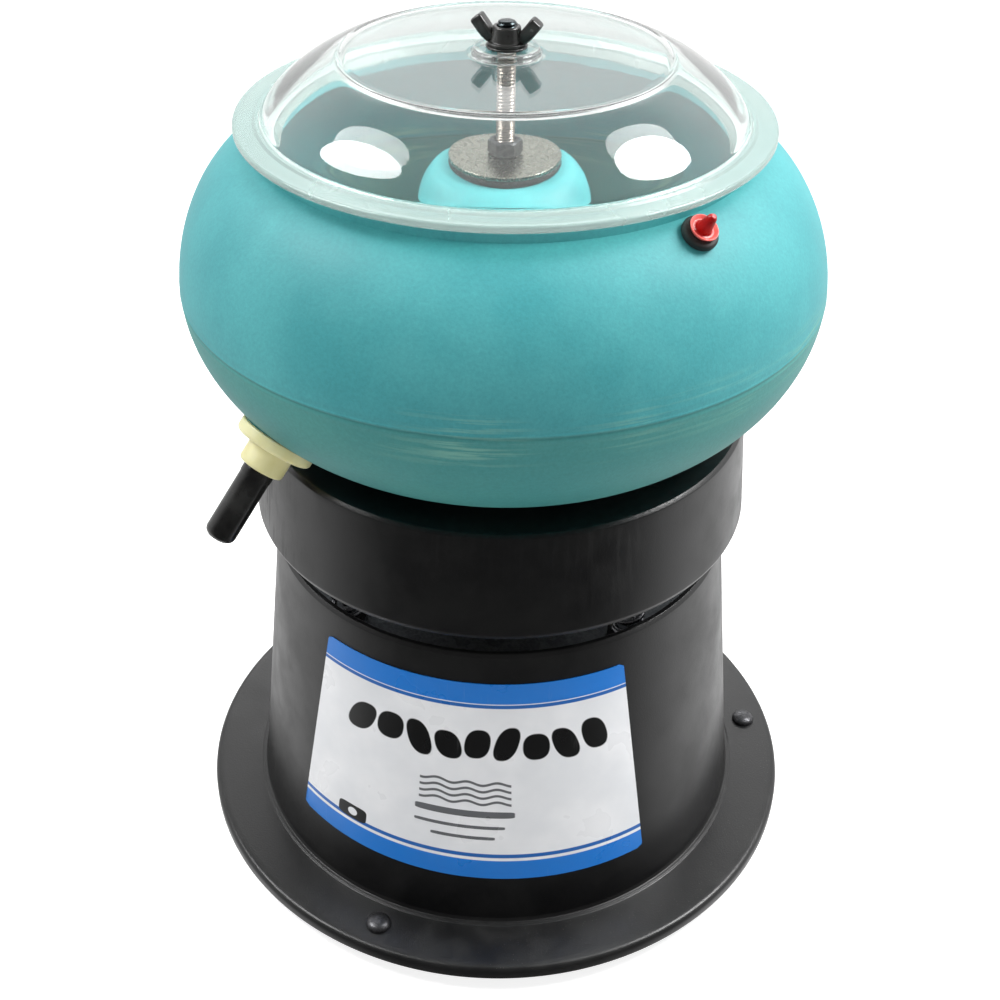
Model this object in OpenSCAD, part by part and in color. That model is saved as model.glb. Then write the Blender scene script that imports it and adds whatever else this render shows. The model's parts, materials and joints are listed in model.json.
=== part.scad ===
// Vibratory rock tumbler: a toroidal bowl on a sprung drive head, over a flanged base.
// Millimetres, +Z up. The origin is on the floor under the middle of the bowl.
// Azimuths are measured from the front (-Y) and grow towards +X.

/* [Base] */
// Outside radius of the base flange
flange_r = 152.4; // [149:0.2:158]
// Width of the flat band of the flange
flange_band = 26.1; // [22:0.1:30]
// Height of the flange's lower edge above the floor
foot_h = 8; // [6:0.5:12]
// Thickness of the flange over its lower edge
flange_t = 6.7; // [6:0.1:9]
// Outside radius at the top of the tapered wall
rim_r = 107.3; // [104:0.1:109]
// Height of the top of the base over the floor
rim_z = 169.8; // [168:0.1:171]
// Wall thickness of the base housing
base_wall = 3.5; // [3:0.1:4.5]
// Radius of the circle on which the feet stand
foot_circle_r = 138.5; // [136:0.5:141]
// Radius of a rubber foot
foot_r = 8.5; // [7:0.1:9.5]
// Azimuth of the first screwed foot
foot_az = -23.5; // [-40:0.5:-10]
// Height of the mains cord bushing over the floor
bushing_z = 45; // [40:1:60]
// Radius of the hole through the cord bushing
bushing_bore_r = 3.6; // [3:0.1:4.5]

/* [Label] */
// Height of the label's upper edge
label_top_z = 155; // [145:1:160]
// Height of the label's lower edge
label_low_z = 43; // [35:1:60]
// Distance of the label's upper left corner from the middle, seen from the front
label_top_left = 76; // [60:1:85]
// Distance of the label's upper right corner from the middle
label_top_right = 55.6; // [45:0.1:65]
// Distance of the label's lower left corner from the middle
label_low_left = 94.2; // [80:0.1:98]
// Distance of the label's lower right corner from the middle
label_low_right = 71.4; // [60:0.1:80]

/* [Suspension] */
// Height of the top of the spring deck
deck_z = 149; // [147:0.5:151]
// Radius of the circle of springs
spring_circle_r = 91; // [89:0.5:92]
// Azimuth of the first spring
spring_az = 40; // [35:1:55]
// Mean radius of the spring coil
coil_r = 6.5; // [6:0.1:7]
// Radius of the spring wire
wire_r = 1.25; // [1:0.05:1.5]
// Turns in each spring
coil_turns = 6; // [5:1:8]
// Height of the underside of the drive plate
plate_z = 190; // [188:0.5:192]
// Thickness of the drive plate
plate_t = 4; // [3:0.5:5]

/* [Skirt] */
// Height of the skirt's lower edge
skirt_low_z = 184.9; // [182:0.1:187]
// Widest radius of the skirt, just over its lower edge
skirt_low_r = 115.2; // [113:0.1:118]
// Radius of the skirt at its top edge
skirt_top_r = 111; // [109:0.1:112]
// Wall thickness of the skirt
skirt_wall = 3; // [2.5:0.1:3.5]

/* [Bowl] */
// Height of the underside of the bowl, which is the top of the skirt
bowl_low_z = 236.6; // [235:0.1:238]
// Radius of the lowest ring of the bowl
trough_r = 66.45; // [64:0.05:70]
// Widest radius of the bowl
bowl_r = 138.2; // [134:0.1:142]
// Height of the widest ring of the bowl
bowl_mid_z = 301.8; // [298:0.1:305]
// Height at which the shoulder would close over
bowl_top_z = 361.9; // [360:0.1:363]
// Radius at which the shoulder would close over
mouth_r = 94.8; // [94:0.1:96]
// Wall thickness of the bowl
bowl_wall = 5; // [4:0.1:5.5]
// Height of the top of the hollow centre column
column_z = 344; // [340:0.5:346]
// Radius of the flat top of the centre column
column_top_r = 25; // [24:0.5:27]
// Widest radius of the centre column's shoulder
column_r = 38; // [36:0.5:46]

/* [Lid] */
// Outside radius of the lid's flange
lid_r = 110.2; // [108:0.1:112]
// Height of the top of the lid's flange
lid_z = 369.95; // [369:0.05:372]
// Radius at which the dome leaves the flange
dome_r = 99; // [97:0.1:101]
// Radius of the lid's flat top
crown_r = 67.8; // [64:0.1:72]
// Height of the lid's flat top
crown_z = 393.6; // [391:0.1:396]
// Thickness of the lid
lid_wall = 3; // [2.5:0.1:3]
// Radius of the raised boss in the middle of the lid
boss_r = 13.5; // [11:0.5:16]
// Height of the top of that boss
boss_z = 396; // [395.4:0.1:397]

/* [Clamp rod] */
// Radius of the threaded rod
rod_r = 4; // [3.5:0.1:4]
// Height of the top of the rod
rod_top_z = 406.6; // [405:0.1:408]
// Distance of a wing's tip from the rod's axis
wing_reach = 14.8; // [13:0.1:17]
// Height of the wing nut over its base
wing_h = 11.7; // [10:0.1:14]
// Turn of the wings away from the left-right line
wing_turn = -16; // [-45:1:45]

/* [Fittings] */
// Azimuth of the inlet plug in the bowl's shoulder
inlet_az = 39.4; // [30:0.1:50]
// Angle round the shoulder, from its widest ring, of the inlet
inlet_s = 66; // [60:0.5:66]
// Azimuth of the drain under the bowl
drain_az = -52.5; // [-60:0.5:-45]
// Angle under the bowl, from its widest ring, of the drain
drain_s = 46; // [42:0.5:46]
// Radius of the drain's clamping nut
drain_nut_r = 17.2; // [15:0.1:17.8]
// Length of the drain from the bowl to the end of its cap
drain_l = 49; // [40:0.5:50]

/* [Motor] */
// Radius of the motor's can
motor_r = 43; // [42:0.5:46]
// Height of the underside of the motor
motor_low_z = 96; // [92:0.5:98]
// Height of the top of the motor
motor_top_z = 172; // [170:0.5:173]
// Radius of the motor's shaft
shaft_r = 5; // [4:0.1:6]
// Radius of the eccentric weight
weight_r = 34; // [28:0.5:38]
// Height of the eccentric weight
weight_t = 18; // [12:0.5:20]

/* [Hidden] */
$fn = 96;

small_fn = 32;               // round fasteners and other small parts
arc_steps = 14;              // straight runs in a quarter of a profile
running_gap = 0.04;          // a turning shaft in its bore
free_gap = 0.1;              // a fixed part in its hole
over = 1;                    // how far a cutter runs past the face it cuts

flange_z = foot_h + flange_t;
crease_r = flange_r - flange_band;
wall_low_r = crease_r - 1.8;
wall_low_z = flange_z + 2.4;
edge_round = 2.5;
flange_skin = 3.5;
ledge_in_r = 98;
ledge_t = 6;
deck_t = 3;
deck_in_r = 60;
deck_out_r = 105.4;
cover_low_z = 11;
cover_t = 2.5;
cover_r = 119;
cover_screw_r = 114.5;
bushing_face_y = 125;
bushing_in_y = 112;
bushing_r = 8;
screw_r = 2;
small_screw_r = 1.9;
cup_r = 9.5;
cup_t = 2;
spigot_r = 4.6;
isolator_t = 2;
isolator_r = 8.8;
plate_r = 107;
post_circle_r = 98;
post_r = 5;
plate_top_z = plate_z + plate_t;
skirt_top_t = 4;
lip_r = 103;
lip_in_r = 93.5;
lid_low_z = lid_z - lid_wall;
locator_r = 93;
gasket_t = 2.6;
washer_t = 1.6;
washer_r = 23.8;
bowl_nut_t = 6.8;
nut_flat_r = 7.35;           // corner radius of the 12.7 mm hexagon
lid_washer_t = 1.2;
lid_washer_r = 8.4;
foot_screw_r = 2.5;
motor_wall = 1.5;
cap_t = 8;
bearing_r = 11;
bearing_t = 7;
bearing_lip = 1;
motor_post_r = 36;
stator_low_z = motor_low_z + 18;
stator_h = 36;
stator_in_r = 24;
rotor_gap = 0.4;
fan_low_z = motor_top_z + 2;
fan_h = 8;
fan_r = 28;
weight_low_z = motor_low_z - 28;
shoulder_n = 1.835;          // roundness of the bowl above its widest ring
belly_n = 1.975;             // roundness of the bowl below it
dome_n = 1.3;                // roundness of the lid's dome, nearly a cone
seat_t = 1.2;                // depth of the drain's flat seat under the bowl's skin
pad_in = 8;                  // depth of the drain's inner flange under the same skin
pad_r = 15.5;
tube_r = 6.2;                // the drain's threaded tube
spout_r = 4.8;
drain_bore_r = 3.4;
drain_gasket_t = 1.2;
nut_low = -seat_t;
nut_t = 5.5;
collar_low = 4.5;
collar_t = 14.5;
collar_r = 10;
spout_end = 32.8;
cap_low = 14.8;
cap_r = 6.7;
cap_bead_r = 7;
// Angle at which the shoulder meets the mouth's lip.
lip_s = acos(pow((lip_r - mouth_r) / (bowl_r - mouth_r), shoulder_n / 2));

// A quarter of a superellipse about (r0, z0), from angle s0 to angle s1.
function arc(r0, z0, a, b, n, s0, s1) = [
    for (i = [0 : arc_steps]) let (s = s0 + (s1 - s0) * i / arc_steps)
        [r0 + a * pow(cos(s), 2 / n), z0 + b * pow(sin(s), 2 / n)]
];
// Outside radius of the base's tapered wall at height z.
function wall_r(z) = wall_low_r + (rim_r - wall_low_r) * (z - wall_low_z) / (rim_z - wall_low_z);
// A point of the bowl's outer surface at angle s, above (side 1) or below (side -1) the widest ring.
function bowl_point(s, side) = side > 0
    ? [mouth_r + (bowl_r - mouth_r) * pow(cos(s), 2 / shoulder_n),
       bowl_mid_z + (bowl_top_z - bowl_mid_z) * pow(sin(s), 2 / shoulder_n)]
    : [trough_r + (bowl_r - trough_r) * pow(cos(s), 2 / belly_n),
       bowl_mid_z - (bowl_mid_z - bowl_low_z) * pow(sin(s), 2 / belly_n)];
// Angle from the vertical of the outward normal at that point.
function bowl_tilt(s, side) = side > 0
    ? atan2(pow(cos(s), 2 - 2 / shoulder_n) / (bowl_r - mouth_r),
            pow(sin(s), 2 - 2 / shoulder_n) / (bowl_top_z - bowl_mid_z))
    : 180 - atan2(pow(cos(s), 2 - 2 / belly_n) / (bowl_r - trough_r),
                  pow(sin(s), 2 - 2 / belly_n) / (bowl_mid_z - bowl_low_z));

// Turns the +X direction to an azimuth.
module facing(az) rotate([0, 0, az - 90]) children();
// Repeats its children evenly round a circle.
module round_circle(count, r, z, first) {
    for (i = [0 : count - 1]) facing(first + i * 360 / count) translate([r, 0, z]) children();
}
// A tube between two radii.
module tube(r_out, r_in, z, h) {
    translate([0, 0, z]) difference() {
        cylinder(h = h, r = r_out);
        translate([0, 0, -over]) cylinder(h = h + 2 * over, r = r_in);
    }
}
// A pan-headed screw with its head's seat at z = 0 and its shank going down.
module screw(shank_r, length, head_r, head_h) {
    translate([0, 0, -length]) cylinder(h = length, r = shank_r, $fn = small_fn);
    cylinder(h = head_h * 0.6, r = head_r, $fn = small_fn);
    translate([0, 0, head_h * 0.6])
        cylinder(h = head_h * 0.4, r1 = head_r, r2 = head_r * 0.6, $fn = small_fn);
}
// Places children on the bowl's skin, with +Z along the outward normal.
module on_bowl(az, s, side) {
    p = bowl_point(s, side);
    facing(az) translate([p[0], 0, p[1]]) rotate([0, bowl_tilt(s, side), 0]) children();
}

module base_housing() color([0.09, 0.09, 0.095]) difference() {
    union() {
        rotate_extrude() polygon(concat(
            [[flange_r - base_wall, foot_h], [flange_r, foot_h]],
            [for (a = [0 : 15 : 90])
                [flange_r - edge_round + edge_round * cos(a),
                 flange_z - edge_round + edge_round * sin(a)]],
            [[crease_r, flange_z], [crease_r - 0.9, flange_z + 0.7], [wall_low_r, wall_low_z],
             [wall_r(rim_z - 1.2), rim_z - 1.2], [rim_r - 0.8, rim_z],
             [rim_r - base_wall + 0.6, rim_z], [rim_r - base_wall, rim_z - 1]],
            [[wall_r(deck_z - deck_t) - base_wall, deck_z - deck_t],
             [ledge_in_r, deck_z - deck_t], [ledge_in_r, deck_z - deck_t - ledge_t],
             [wall_r(deck_z - 21) - base_wall, deck_z - 21],
             [wall_r(flange_z) - base_wall, flange_z - flange_skin],
             [flange_r - base_wall, flange_z - flange_skin]]));
        translate([0, bushing_in_y, bushing_z]) rotate([-90, 0, 0])
            cylinder(h = bushing_face_y - bushing_in_y, r = bushing_r + 5);
        round_circle(4, cover_screw_r, cover_low_z + cover_t, 45)
            cylinder(h = 24, r = 6, $fn = small_fn);
    }
    translate([0, bushing_in_y - 8, bushing_z]) rotate([-90, 0, 0])
        cylinder(h = 30, r = bushing_r + free_gap);
    round_circle(3, foot_circle_r, 0, foot_az)
        cylinder(h = 3 * flange_z, r = foot_screw_r + free_gap, $fn = small_fn);
    round_circle(4, cover_screw_r, cover_low_z, 45)
        cylinder(h = 20, r = small_screw_r + free_gap, $fn = small_fn);
    round_circle(4, (ledge_in_r + deck_out_r) / 2, deck_z - 12, 0)
        cylinder(h = 12, r = small_screw_r + free_gap, $fn = small_fn);
}

module base_label() color([0.86, 0.88, 0.9]) intersection() {
    rotate_extrude() polygon([
        for (edge = [[0.05, 0], [0.45, 0], [0.45, 1], [0.05, 1]])
            let (z = edge[1] > 0 ? label_top_z + 4 : label_low_z - 4) [wall_r(z) + edge[0], z]]);
    rotate([90, 0, 0]) linear_extrude(flange_r) polygon([
        [-label_top_left, label_top_z + 0.3], [label_top_right, label_top_z - 0.3],
        [label_low_right, label_low_z - 1.8], [-label_low_left, label_low_z + 1.8]]);
}

module rubber_foot() {
    rotate_extrude() polygon([[0, 0], [foot_r - 1.5, 0], [foot_r, 1.5],
        [foot_r, flange_z - flange_skin], [0, flange_z - flange_skin]]);
}
module rubber_feet() color([0.05, 0.05, 0.05]) {
    round_circle(3, foot_circle_r, 0, foot_az + 60) rubber_foot();
    round_circle(3, foot_circle_r, 0, foot_az) difference() {
        rubber_foot();
        translate([0, 0, -over]) cylinder(h = 3 * foot_h, r = foot_screw_r + free_gap, $fn = small_fn);
        translate([0, 0, -over]) cylinder(h = 5 + over, r = 5.2, $fn = small_fn);
    }
}

module foot_screws() color([0.3, 0.3, 0.31]) round_circle(3, foot_circle_r, flange_z, foot_az)
    rotate_extrude($fn = small_fn) polygon(concat(
        [[0, 1.6 - flange_z], [foot_screw_r, 1.6 - flange_z], [foot_screw_r, 0], [5.8, 0]],
        [for (a = [0 : 15 : 90]) [5.8 * cos(a), 0.8 + 2.6 * sin(a)]]));

module foot_nuts() color([0.7, 0.7, 0.68]) round_circle(3, foot_circle_r, 1.2, foot_az)
    difference() {
        cylinder(h = 3.8, r = 4.62, $fn = 6);
        translate([0, 0, -over]) cylinder(h = 6, r = foot_screw_r + free_gap, $fn = small_fn);
    }

module bottom_cover() color([0.13, 0.13, 0.135]) translate([0, 0, cover_low_z]) difference() {
    cylinder(h = cover_t, r = cover_r);
    round_circle(4, cover_screw_r, -over, 45)
        cylinder(h = cover_t + 2 * over, r = small_screw_r + free_gap, $fn = small_fn);
    round_circle(16, 50, -over, 0) translate([0, -2.5, 0]) cube([38, 5, cover_t + 2 * over]);
}

module cover_screws() color([0.6, 0.6, 0.6]) round_circle(4, cover_screw_r, cover_low_z, 45)
    mirror([0, 0, 1]) screw(small_screw_r, 16, 3.8, 2.4);

module cord_bushing() color([0.06, 0.06, 0.06])
    translate([0, 0, bushing_z]) rotate([-90, 0, 0]) difference() {
        union() {
            translate([0, 0, bushing_in_y]) cylinder(h = bushing_face_y - bushing_in_y, r = bushing_r);
            translate([0, 0, bushing_face_y]) cylinder(h = 2, r = bushing_r + 3);
            translate([0, 0, bushing_face_y + 2])
                cylinder(h = 8, r1 = bushing_r, r2 = bushing_bore_r + 2);
            translate([0, 0, bushing_in_y - 3]) cylinder(h = 3, r = bushing_r + 2.5);
        }
        translate([0, 0, bushing_in_y - 10]) cylinder(h = 40, r = bushing_bore_r);
    }

module spring_deck() color([0.55, 0.56, 0.58]) difference() {
    tube(deck_out_r, deck_in_r, deck_z - deck_t, deck_t);
    round_circle(4, spring_circle_r, deck_z - 2 * deck_t, spring_az)
        cylinder(h = 4 * deck_t, r = screw_r + free_gap, $fn = small_fn);
    round_circle(4, (ledge_in_r + deck_out_r) / 2, deck_z - 2 * deck_t, 0)
        cylinder(h = 4 * deck_t, r = small_screw_r + free_gap, $fn = small_fn);
}

module deck_screws() color([0.6, 0.6, 0.6])
    round_circle(4, (ledge_in_r + deck_out_r) / 2, deck_z, 0) screw(small_screw_r, 9, 3.4, 2.4);

module spring_cup() difference() {
    union() {
        cylinder(h = cup_t, r = cup_r, $fn = small_fn);
        cylinder(h = cup_t + 6, r = spigot_r, $fn = small_fn);
    }
    translate([0, 0, -over]) cylinder(h = 12, r = screw_r + free_gap, $fn = small_fn);
}
module lower_spring_cups() color([0.5, 0.5, 0.52])
    round_circle(4, spring_circle_r, deck_z, spring_az) spring_cup();

module lower_cup_screws() color([0.6, 0.6, 0.6])
    round_circle(4, spring_circle_r, deck_z - deck_t, spring_az)
        mirror([0, 0, 1]) screw(screw_r, 8, 3.8, 2.4);

module spring_isolators() color([0.07, 0.07, 0.07])
    round_circle(4, spring_circle_r, 0, spring_az)
        tube(isolator_r, spigot_r + 0.2, deck_z + cup_t, isolator_t, $fn = small_fn);

// One helical spring from z0 to z1, as rings of points swept along the helix.
module helical_spring(z0, z1) {
    sides = 8;
    rings = coil_turns * 14;
    rise = z1 - z0 - 2 * wire_r;
    points = [for (i = [0 : rings]) let (a = 360 * coil_turns * i / rings)
        for (j = [0 : sides - 1]) let (b = 360 * j / sides, r = coil_r + wire_r * cos(b))
            [r * cos(a), r * sin(a), z0 + wire_r + rise * i / rings + wire_r * sin(b)]];
    faces = concat(
        [[for (j = [0 : sides - 1]) j]],
        [for (i = [0 : rings - 1]) for (j = [0 : sides - 1]) let (k = (j + 1) % sides)
            [i * sides + j, (i + 1) * sides + j, (i + 1) * sides + k, i * sides + k]],
        [[for (j = [sides - 1 : -1 : 0]) rings * sides + j]]);
    polyhedron(points, faces);
}
module springs() color([0.75, 0.75, 0.76]) round_circle(4, spring_circle_r, 0, spring_az)
    helical_spring(deck_z + cup_t + isolator_t + 0.05, plate_z - cup_t - 0.05);

module upper_spring_cups() color([0.5, 0.5, 0.52])
    round_circle(4, spring_circle_r, plate_z, spring_az) mirror([0, 0, 1]) spring_cup();

module upper_cup_screws() color([0.6, 0.6, 0.6])
    round_circle(4, spring_circle_r, plate_top_z, spring_az) screw(screw_r, 10, 3.8, 2.4);

module drive_plate() color([0.55, 0.56, 0.58]) difference() {
    translate([0, 0, plate_z]) cylinder(h = plate_t, r = plate_r);
    translate([0, 0, plate_z - over]) cylinder(h = 3 * plate_t, r = rod_r + free_gap);
    round_circle(4, spring_circle_r, plate_z - over, spring_az)
        cylinder(h = 3 * plate_t, r = screw_r + free_gap, $fn = small_fn);
    round_circle(4, post_circle_r, plate_z - over, 0)
        cylinder(h = 3 * plate_t, r = small_screw_r + free_gap, $fn = small_fn);
    round_circle(3, motor_post_r, plate_z - over, 0)
        cylinder(h = 3 * plate_t, r = screw_r + free_gap, $fn = small_fn);
}

module hex_nut(z, h) translate([0, 0, z]) difference() {
    cylinder(h = h, r = nut_flat_r, $fn = 6);
    translate([0, 0, -over]) cylinder(h = h + 2 * over, r = rod_r + free_gap);
}
module rod_nuts() color([0.65, 0.65, 0.64]) {
    hex_nut(plate_z - 6, 6);
    hex_nut(plate_top_z, 6);
}

module plate_screws() color([0.6, 0.6, 0.6]) round_circle(4, post_circle_r, plate_z, 0)
    mirror([0, 0, 1]) screw(small_screw_r, 14, 3.8, 2.4);

module skirt() color([0.07, 0.07, 0.075]) difference() {
    union() {
        rotate_extrude() polygon([
            [skirt_low_r - skirt_wall - 1.6, skirt_low_z], [skirt_low_r - 3.6, skirt_low_z],
            [skirt_low_r - 1.2, skirt_low_z + 0.5], [skirt_low_r - 0.3, skirt_low_z + 1.5],
            [skirt_low_r, skirt_low_z + 3], [skirt_top_r + 0.2, bowl_low_z - 2],
            [skirt_top_r - 0.5, bowl_low_z - 0.6], [skirt_top_r - 1.8, bowl_low_z],
            [rod_r + 0.5, bowl_low_z], [rod_r + 0.5, bowl_low_z - skirt_top_t],
            [skirt_top_r - skirt_wall, bowl_low_z - skirt_top_t],
            [skirt_low_r - skirt_wall, skirt_low_z + 4],
            [skirt_low_r - skirt_wall - 1.6, skirt_low_z + 2.6]]);
        round_circle(4, post_circle_r, plate_top_z, 0)
            cylinder(h = bowl_low_z - skirt_top_t - plate_top_z, r = post_r, $fn = small_fn);
    }
    round_circle(4, post_circle_r, plate_top_z - over, 0)
        cylinder(h = 14, r = small_screw_r + free_gap, $fn = small_fn);
}

// The drain has a moulded pad, flat inside and outside the bowl's curved wall.
module bowl() color([0.35, 0.66, 0.69]) difference() {
    union() {
        rotate_extrude() polygon(concat(
            arc(trough_r, bowl_mid_z, bowl_r - trough_r, bowl_low_z - bowl_mid_z, belly_n, 90, 0),
            arc(mouth_r, bowl_mid_z, bowl_r - mouth_r, bowl_top_z - bowl_mid_z,
                shoulder_n, 3, lip_s),
            [[lip_r, lid_low_z - 0.6], [lip_r - 0.6, lid_low_z],
             [lip_in_r + 0.6, lid_low_z], [lip_in_r, lid_low_z - 0.6],
             [lip_in_r, bowl_top_z - bowl_wall + 0.6]],
            arc(mouth_r, bowl_mid_z, bowl_r - mouth_r - bowl_wall,
                bowl_top_z - bowl_mid_z - bowl_wall, shoulder_n, 90, 0),
            arc(trough_r, bowl_mid_z, bowl_r - trough_r - bowl_wall,
                bowl_low_z - bowl_mid_z + bowl_wall, belly_n, 4, 90),
            arc(trough_r, column_z - 22, column_r - trough_r,
                bowl_low_z + bowl_wall - column_z + 22, 2, 84, 0),
            arc(column_top_r, column_z - 22, column_r - column_top_r, 22, 2, 6, 90),
            [[rod_r + 0.3, column_z], [rod_r + 0.3, column_z - bowl_wall]],
            arc(column_top_r - bowl_wall, column_z - 22, column_r - column_top_r,
                22 - bowl_wall, 2, 90, 0),
            arc(trough_r, column_z - 22, column_r - bowl_wall - trough_r,
                bowl_low_z - column_z + 22, 2, 4, 86)));
        on_bowl(drain_az, drain_s, -1) translate([0, 0, drain_gasket_t - pad_in])
            cylinder(h = pad_in - drain_gasket_t - seat_t, r = pad_r);
    }
    on_bowl(drain_az, drain_s, -1) translate([0, 0, -seat_t])
        cylinder(h = 20, r = drain_nut_r + 0.4);
    on_bowl(drain_az, drain_s, -1) translate([0, 0, -20])
        cylinder(h = 40, r = tube_r + free_gap);
    on_bowl(inlet_az, inlet_s, 1) translate([0, 0, -12])
        cylinder(h = 20, r = 5.6, $fn = small_fn);
}

module bowl_gasket() color([0.06, 0.06, 0.06])
    tube(washer_r, rod_r + 0.3, column_z, gasket_t);
module bowl_washer() color([0.5, 0.5, 0.5])
    tube(washer_r, rod_r + 0.3, column_z + gasket_t, washer_t);
module bowl_nut() color([0.2, 0.2, 0.2]) hex_nut(column_z + gasket_t + washer_t, bowl_nut_t);

module center_rod() color([0.6, 0.6, 0.6]) {
    rod_low_z = plate_z - 7;
    translate([0, 0, rod_low_z]) cylinder(h = rod_top_z - 1.4 - rod_low_z, r = rod_r);
    translate([0, 0, rod_top_z - 1.4]) cylinder(h = 1.4, r1 = rod_r, r2 = rod_r - 1.6);
}

module lid() color([0.8, 0.9, 0.88, 0.4]) rotate_extrude() polygon(concat(
    [[locator_r - 2.5, lid_low_z - 5], [locator_r, lid_low_z - 5], [locator_r, lid_low_z],
     [lid_r - 0.8, lid_low_z], [lid_r, lid_low_z + 0.8], [lid_r, lid_z - 0.8],
     [lid_r - 0.8, lid_z], [dome_r + 1.6, lid_z]],
    arc(crown_r, lid_z + 1.4, dome_r - crown_r, crown_z - lid_z - 1.4, dome_n, 2, 90),
    [[boss_r, crown_z], [boss_r, boss_z - 0.8], [boss_r - 0.8, boss_z],
     [rod_r + 0.2, boss_z], [rod_r + 0.2, crown_z - lid_wall], [crown_r, crown_z - lid_wall]],
    arc(crown_r, lid_low_z, dome_r - crown_r - lid_wall, crown_z - lid_wall - lid_low_z,
        dome_n, 84, 12)));

module lid_washer() color([0.08, 0.08, 0.08])
    tube(lid_washer_r, rod_r + 0.2, boss_z, lid_washer_t, $fn = 48);

module wing_nut() color([0.09, 0.09, 0.09]) {
    wing_l = 10.4;
    wing_w = 5.4;
    lean = 38;
    translate([0, 0, boss_z + lid_washer_t]) rotate([0, 0, wing_turn]) difference() {
        union() {
            cylinder(h = 7.4, r = 6, $fn = 48);
            cylinder(h = 1, r = 7.6, $fn = 48);
            for (side = [0, 180]) rotate([0, 0, side])
                translate([wing_reach - wing_w / 2 * cos(lean) - wing_l * sin(lean), 0,
                           wing_h - wing_w / 2 * sin(lean) - wing_l * cos(lean)])
                    rotate([0, lean, 0]) translate([-wing_w / 2, -3, 0])
                        cube([wing_w, 6, wing_l]);
        }
        translate([0, 0, -over]) cylinder(h = 3 * wing_h, r = rod_r + 0.05, $fn = 64);
    }
}

module inlet_grommet() color([0.06, 0.06, 0.06]) on_bowl(inlet_az, inlet_s, 1) difference() {
    union() {
        translate([0, 0, 0.3]) cylinder(h = 3, r = 7.3, $fn = small_fn);
        translate([0, 0, -6.4]) cylinder(h = 7, r = 5.5, $fn = small_fn);
        translate([0, 0, -8.4]) cylinder(h = 2, r = 7.3, $fn = small_fn);
    }
    translate([0, 0, -12]) cylinder(h = 20, r = 3.3, $fn = small_fn);
}

// A hollow-rimmed stopper with a tapered stem to pull it out by.
module inlet_plug() color([0.8, 0.1, 0.1]) on_bowl(inlet_az, inlet_s, 1)
    rotate_extrude($fn = small_fn) polygon([[0, -9], [2.6, -9], [3.2, -8], [3.2, 3.4],
        [4.6, 3.4], [5.9, 5.2], [5.6, 5.7], [4.4, 4.6], [3.1, 4.5], [1.7, 11.4], [1.2, 12.2],
        [0, 12.4]]);

module drain_body() color([0.9, 0.88, 0.74]) on_bowl(drain_az, drain_s, -1) difference() {
    union() {
        translate([0, 0, -pad_in - 2.5]) cylinder(h = 2.5, r = 13);
        translate([0, 0, -pad_in]) cylinder(h = pad_in + collar_low, r = tube_r);
        translate([0, 0, collar_low]) cylinder(h = collar_t - collar_low, r = collar_r);
        translate([0, 0, collar_t]) cylinder(h = spout_end - collar_t, r = spout_r);
    }
    translate([0, 0, -20]) cylinder(h = 60, r = drain_bore_r, $fn = small_fn);
}
module drain_gasket() color([0.08, 0.08, 0.08]) on_bowl(drain_az, drain_s, -1)
    tube(13, tube_r + free_gap, -pad_in, drain_gasket_t);
module drain_nut() color([0.9, 0.88, 0.74]) on_bowl(drain_az, drain_s, -1) difference() {
    union() {
        translate([0, 0, nut_low]) cylinder(h = nut_t - 1, r = drain_nut_r);
        translate([0, 0, nut_low + nut_t - 1])
            cylinder(h = 1, r1 = drain_nut_r, r2 = drain_nut_r - 1);
    }
    translate([0, 0, nut_low - over]) cylinder(h = 20, r = tube_r + free_gap);
}
module drain_screen() color([0.75, 0.75, 0.74]) on_bowl(drain_az, drain_s, -1)
    translate([0, 0, -pad_in - 3.7]) difference() {
        cylinder(h = 1.2, r = 11);
        for (ring = [[1, 0], [6, 3.4], [12, 6.8]]) round_circle(ring[0], ring[1], -over, 0)
            cylinder(h = 4, r = 1.1, $fn = small_fn);
    }
module drain_cap() color([0.05, 0.05, 0.05]) on_bowl(drain_az, drain_s, -1) difference() {
    rotate_extrude() polygon(concat([[0, cap_low], [cap_bead_r - 0.2, cap_low],
        [cap_bead_r, cap_low + 1], [cap_bead_r, cap_low + 3.5], [cap_r, cap_low + 4.5]],
        [for (a = [0 : 15 : 90]) [cap_r * cos(a), drain_l - 4 + 4 * sin(a)]]));
    translate([0, 0, cap_low - over])
        cylinder(h = spout_end + 1.8 - cap_low + over, r = spout_r + free_gap);
}

module motor_can() color([0.3, 0.31, 0.33])
    tube(motor_r, motor_r - motor_wall, motor_low_z + cap_t,
         motor_top_z - motor_low_z - 2 * cap_t);

// A cast end cap with its flat face at z = 0 and its spigot going up into the can.
module motor_cap() difference() {
    union() {
        cylinder(h = cap_t, r = motor_r);
        cylinder(h = cap_t + 4, r = bearing_r + 3);
        tube(motor_r - motor_wall - free_gap, motor_r - motor_wall - 3, cap_t, 4);
    }
    translate([0, 0, -over]) cylinder(h = 20, r = shaft_r + 2);
    translate([0, 0, bearing_lip]) cylinder(h = 20, r = bearing_r + free_gap);
    round_circle(3, motor_post_r, -over, 0)
        cylinder(h = cap_t + 2 * over, r = screw_r + free_gap, $fn = small_fn);
}
module motor_cap_upper() color([0.62, 0.63, 0.64])
    translate([0, 0, motor_top_z]) mirror([0, 0, 1]) motor_cap();
module motor_cap_lower() color([0.62, 0.63, 0.64]) translate([0, 0, motor_low_z]) motor_cap();

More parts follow.
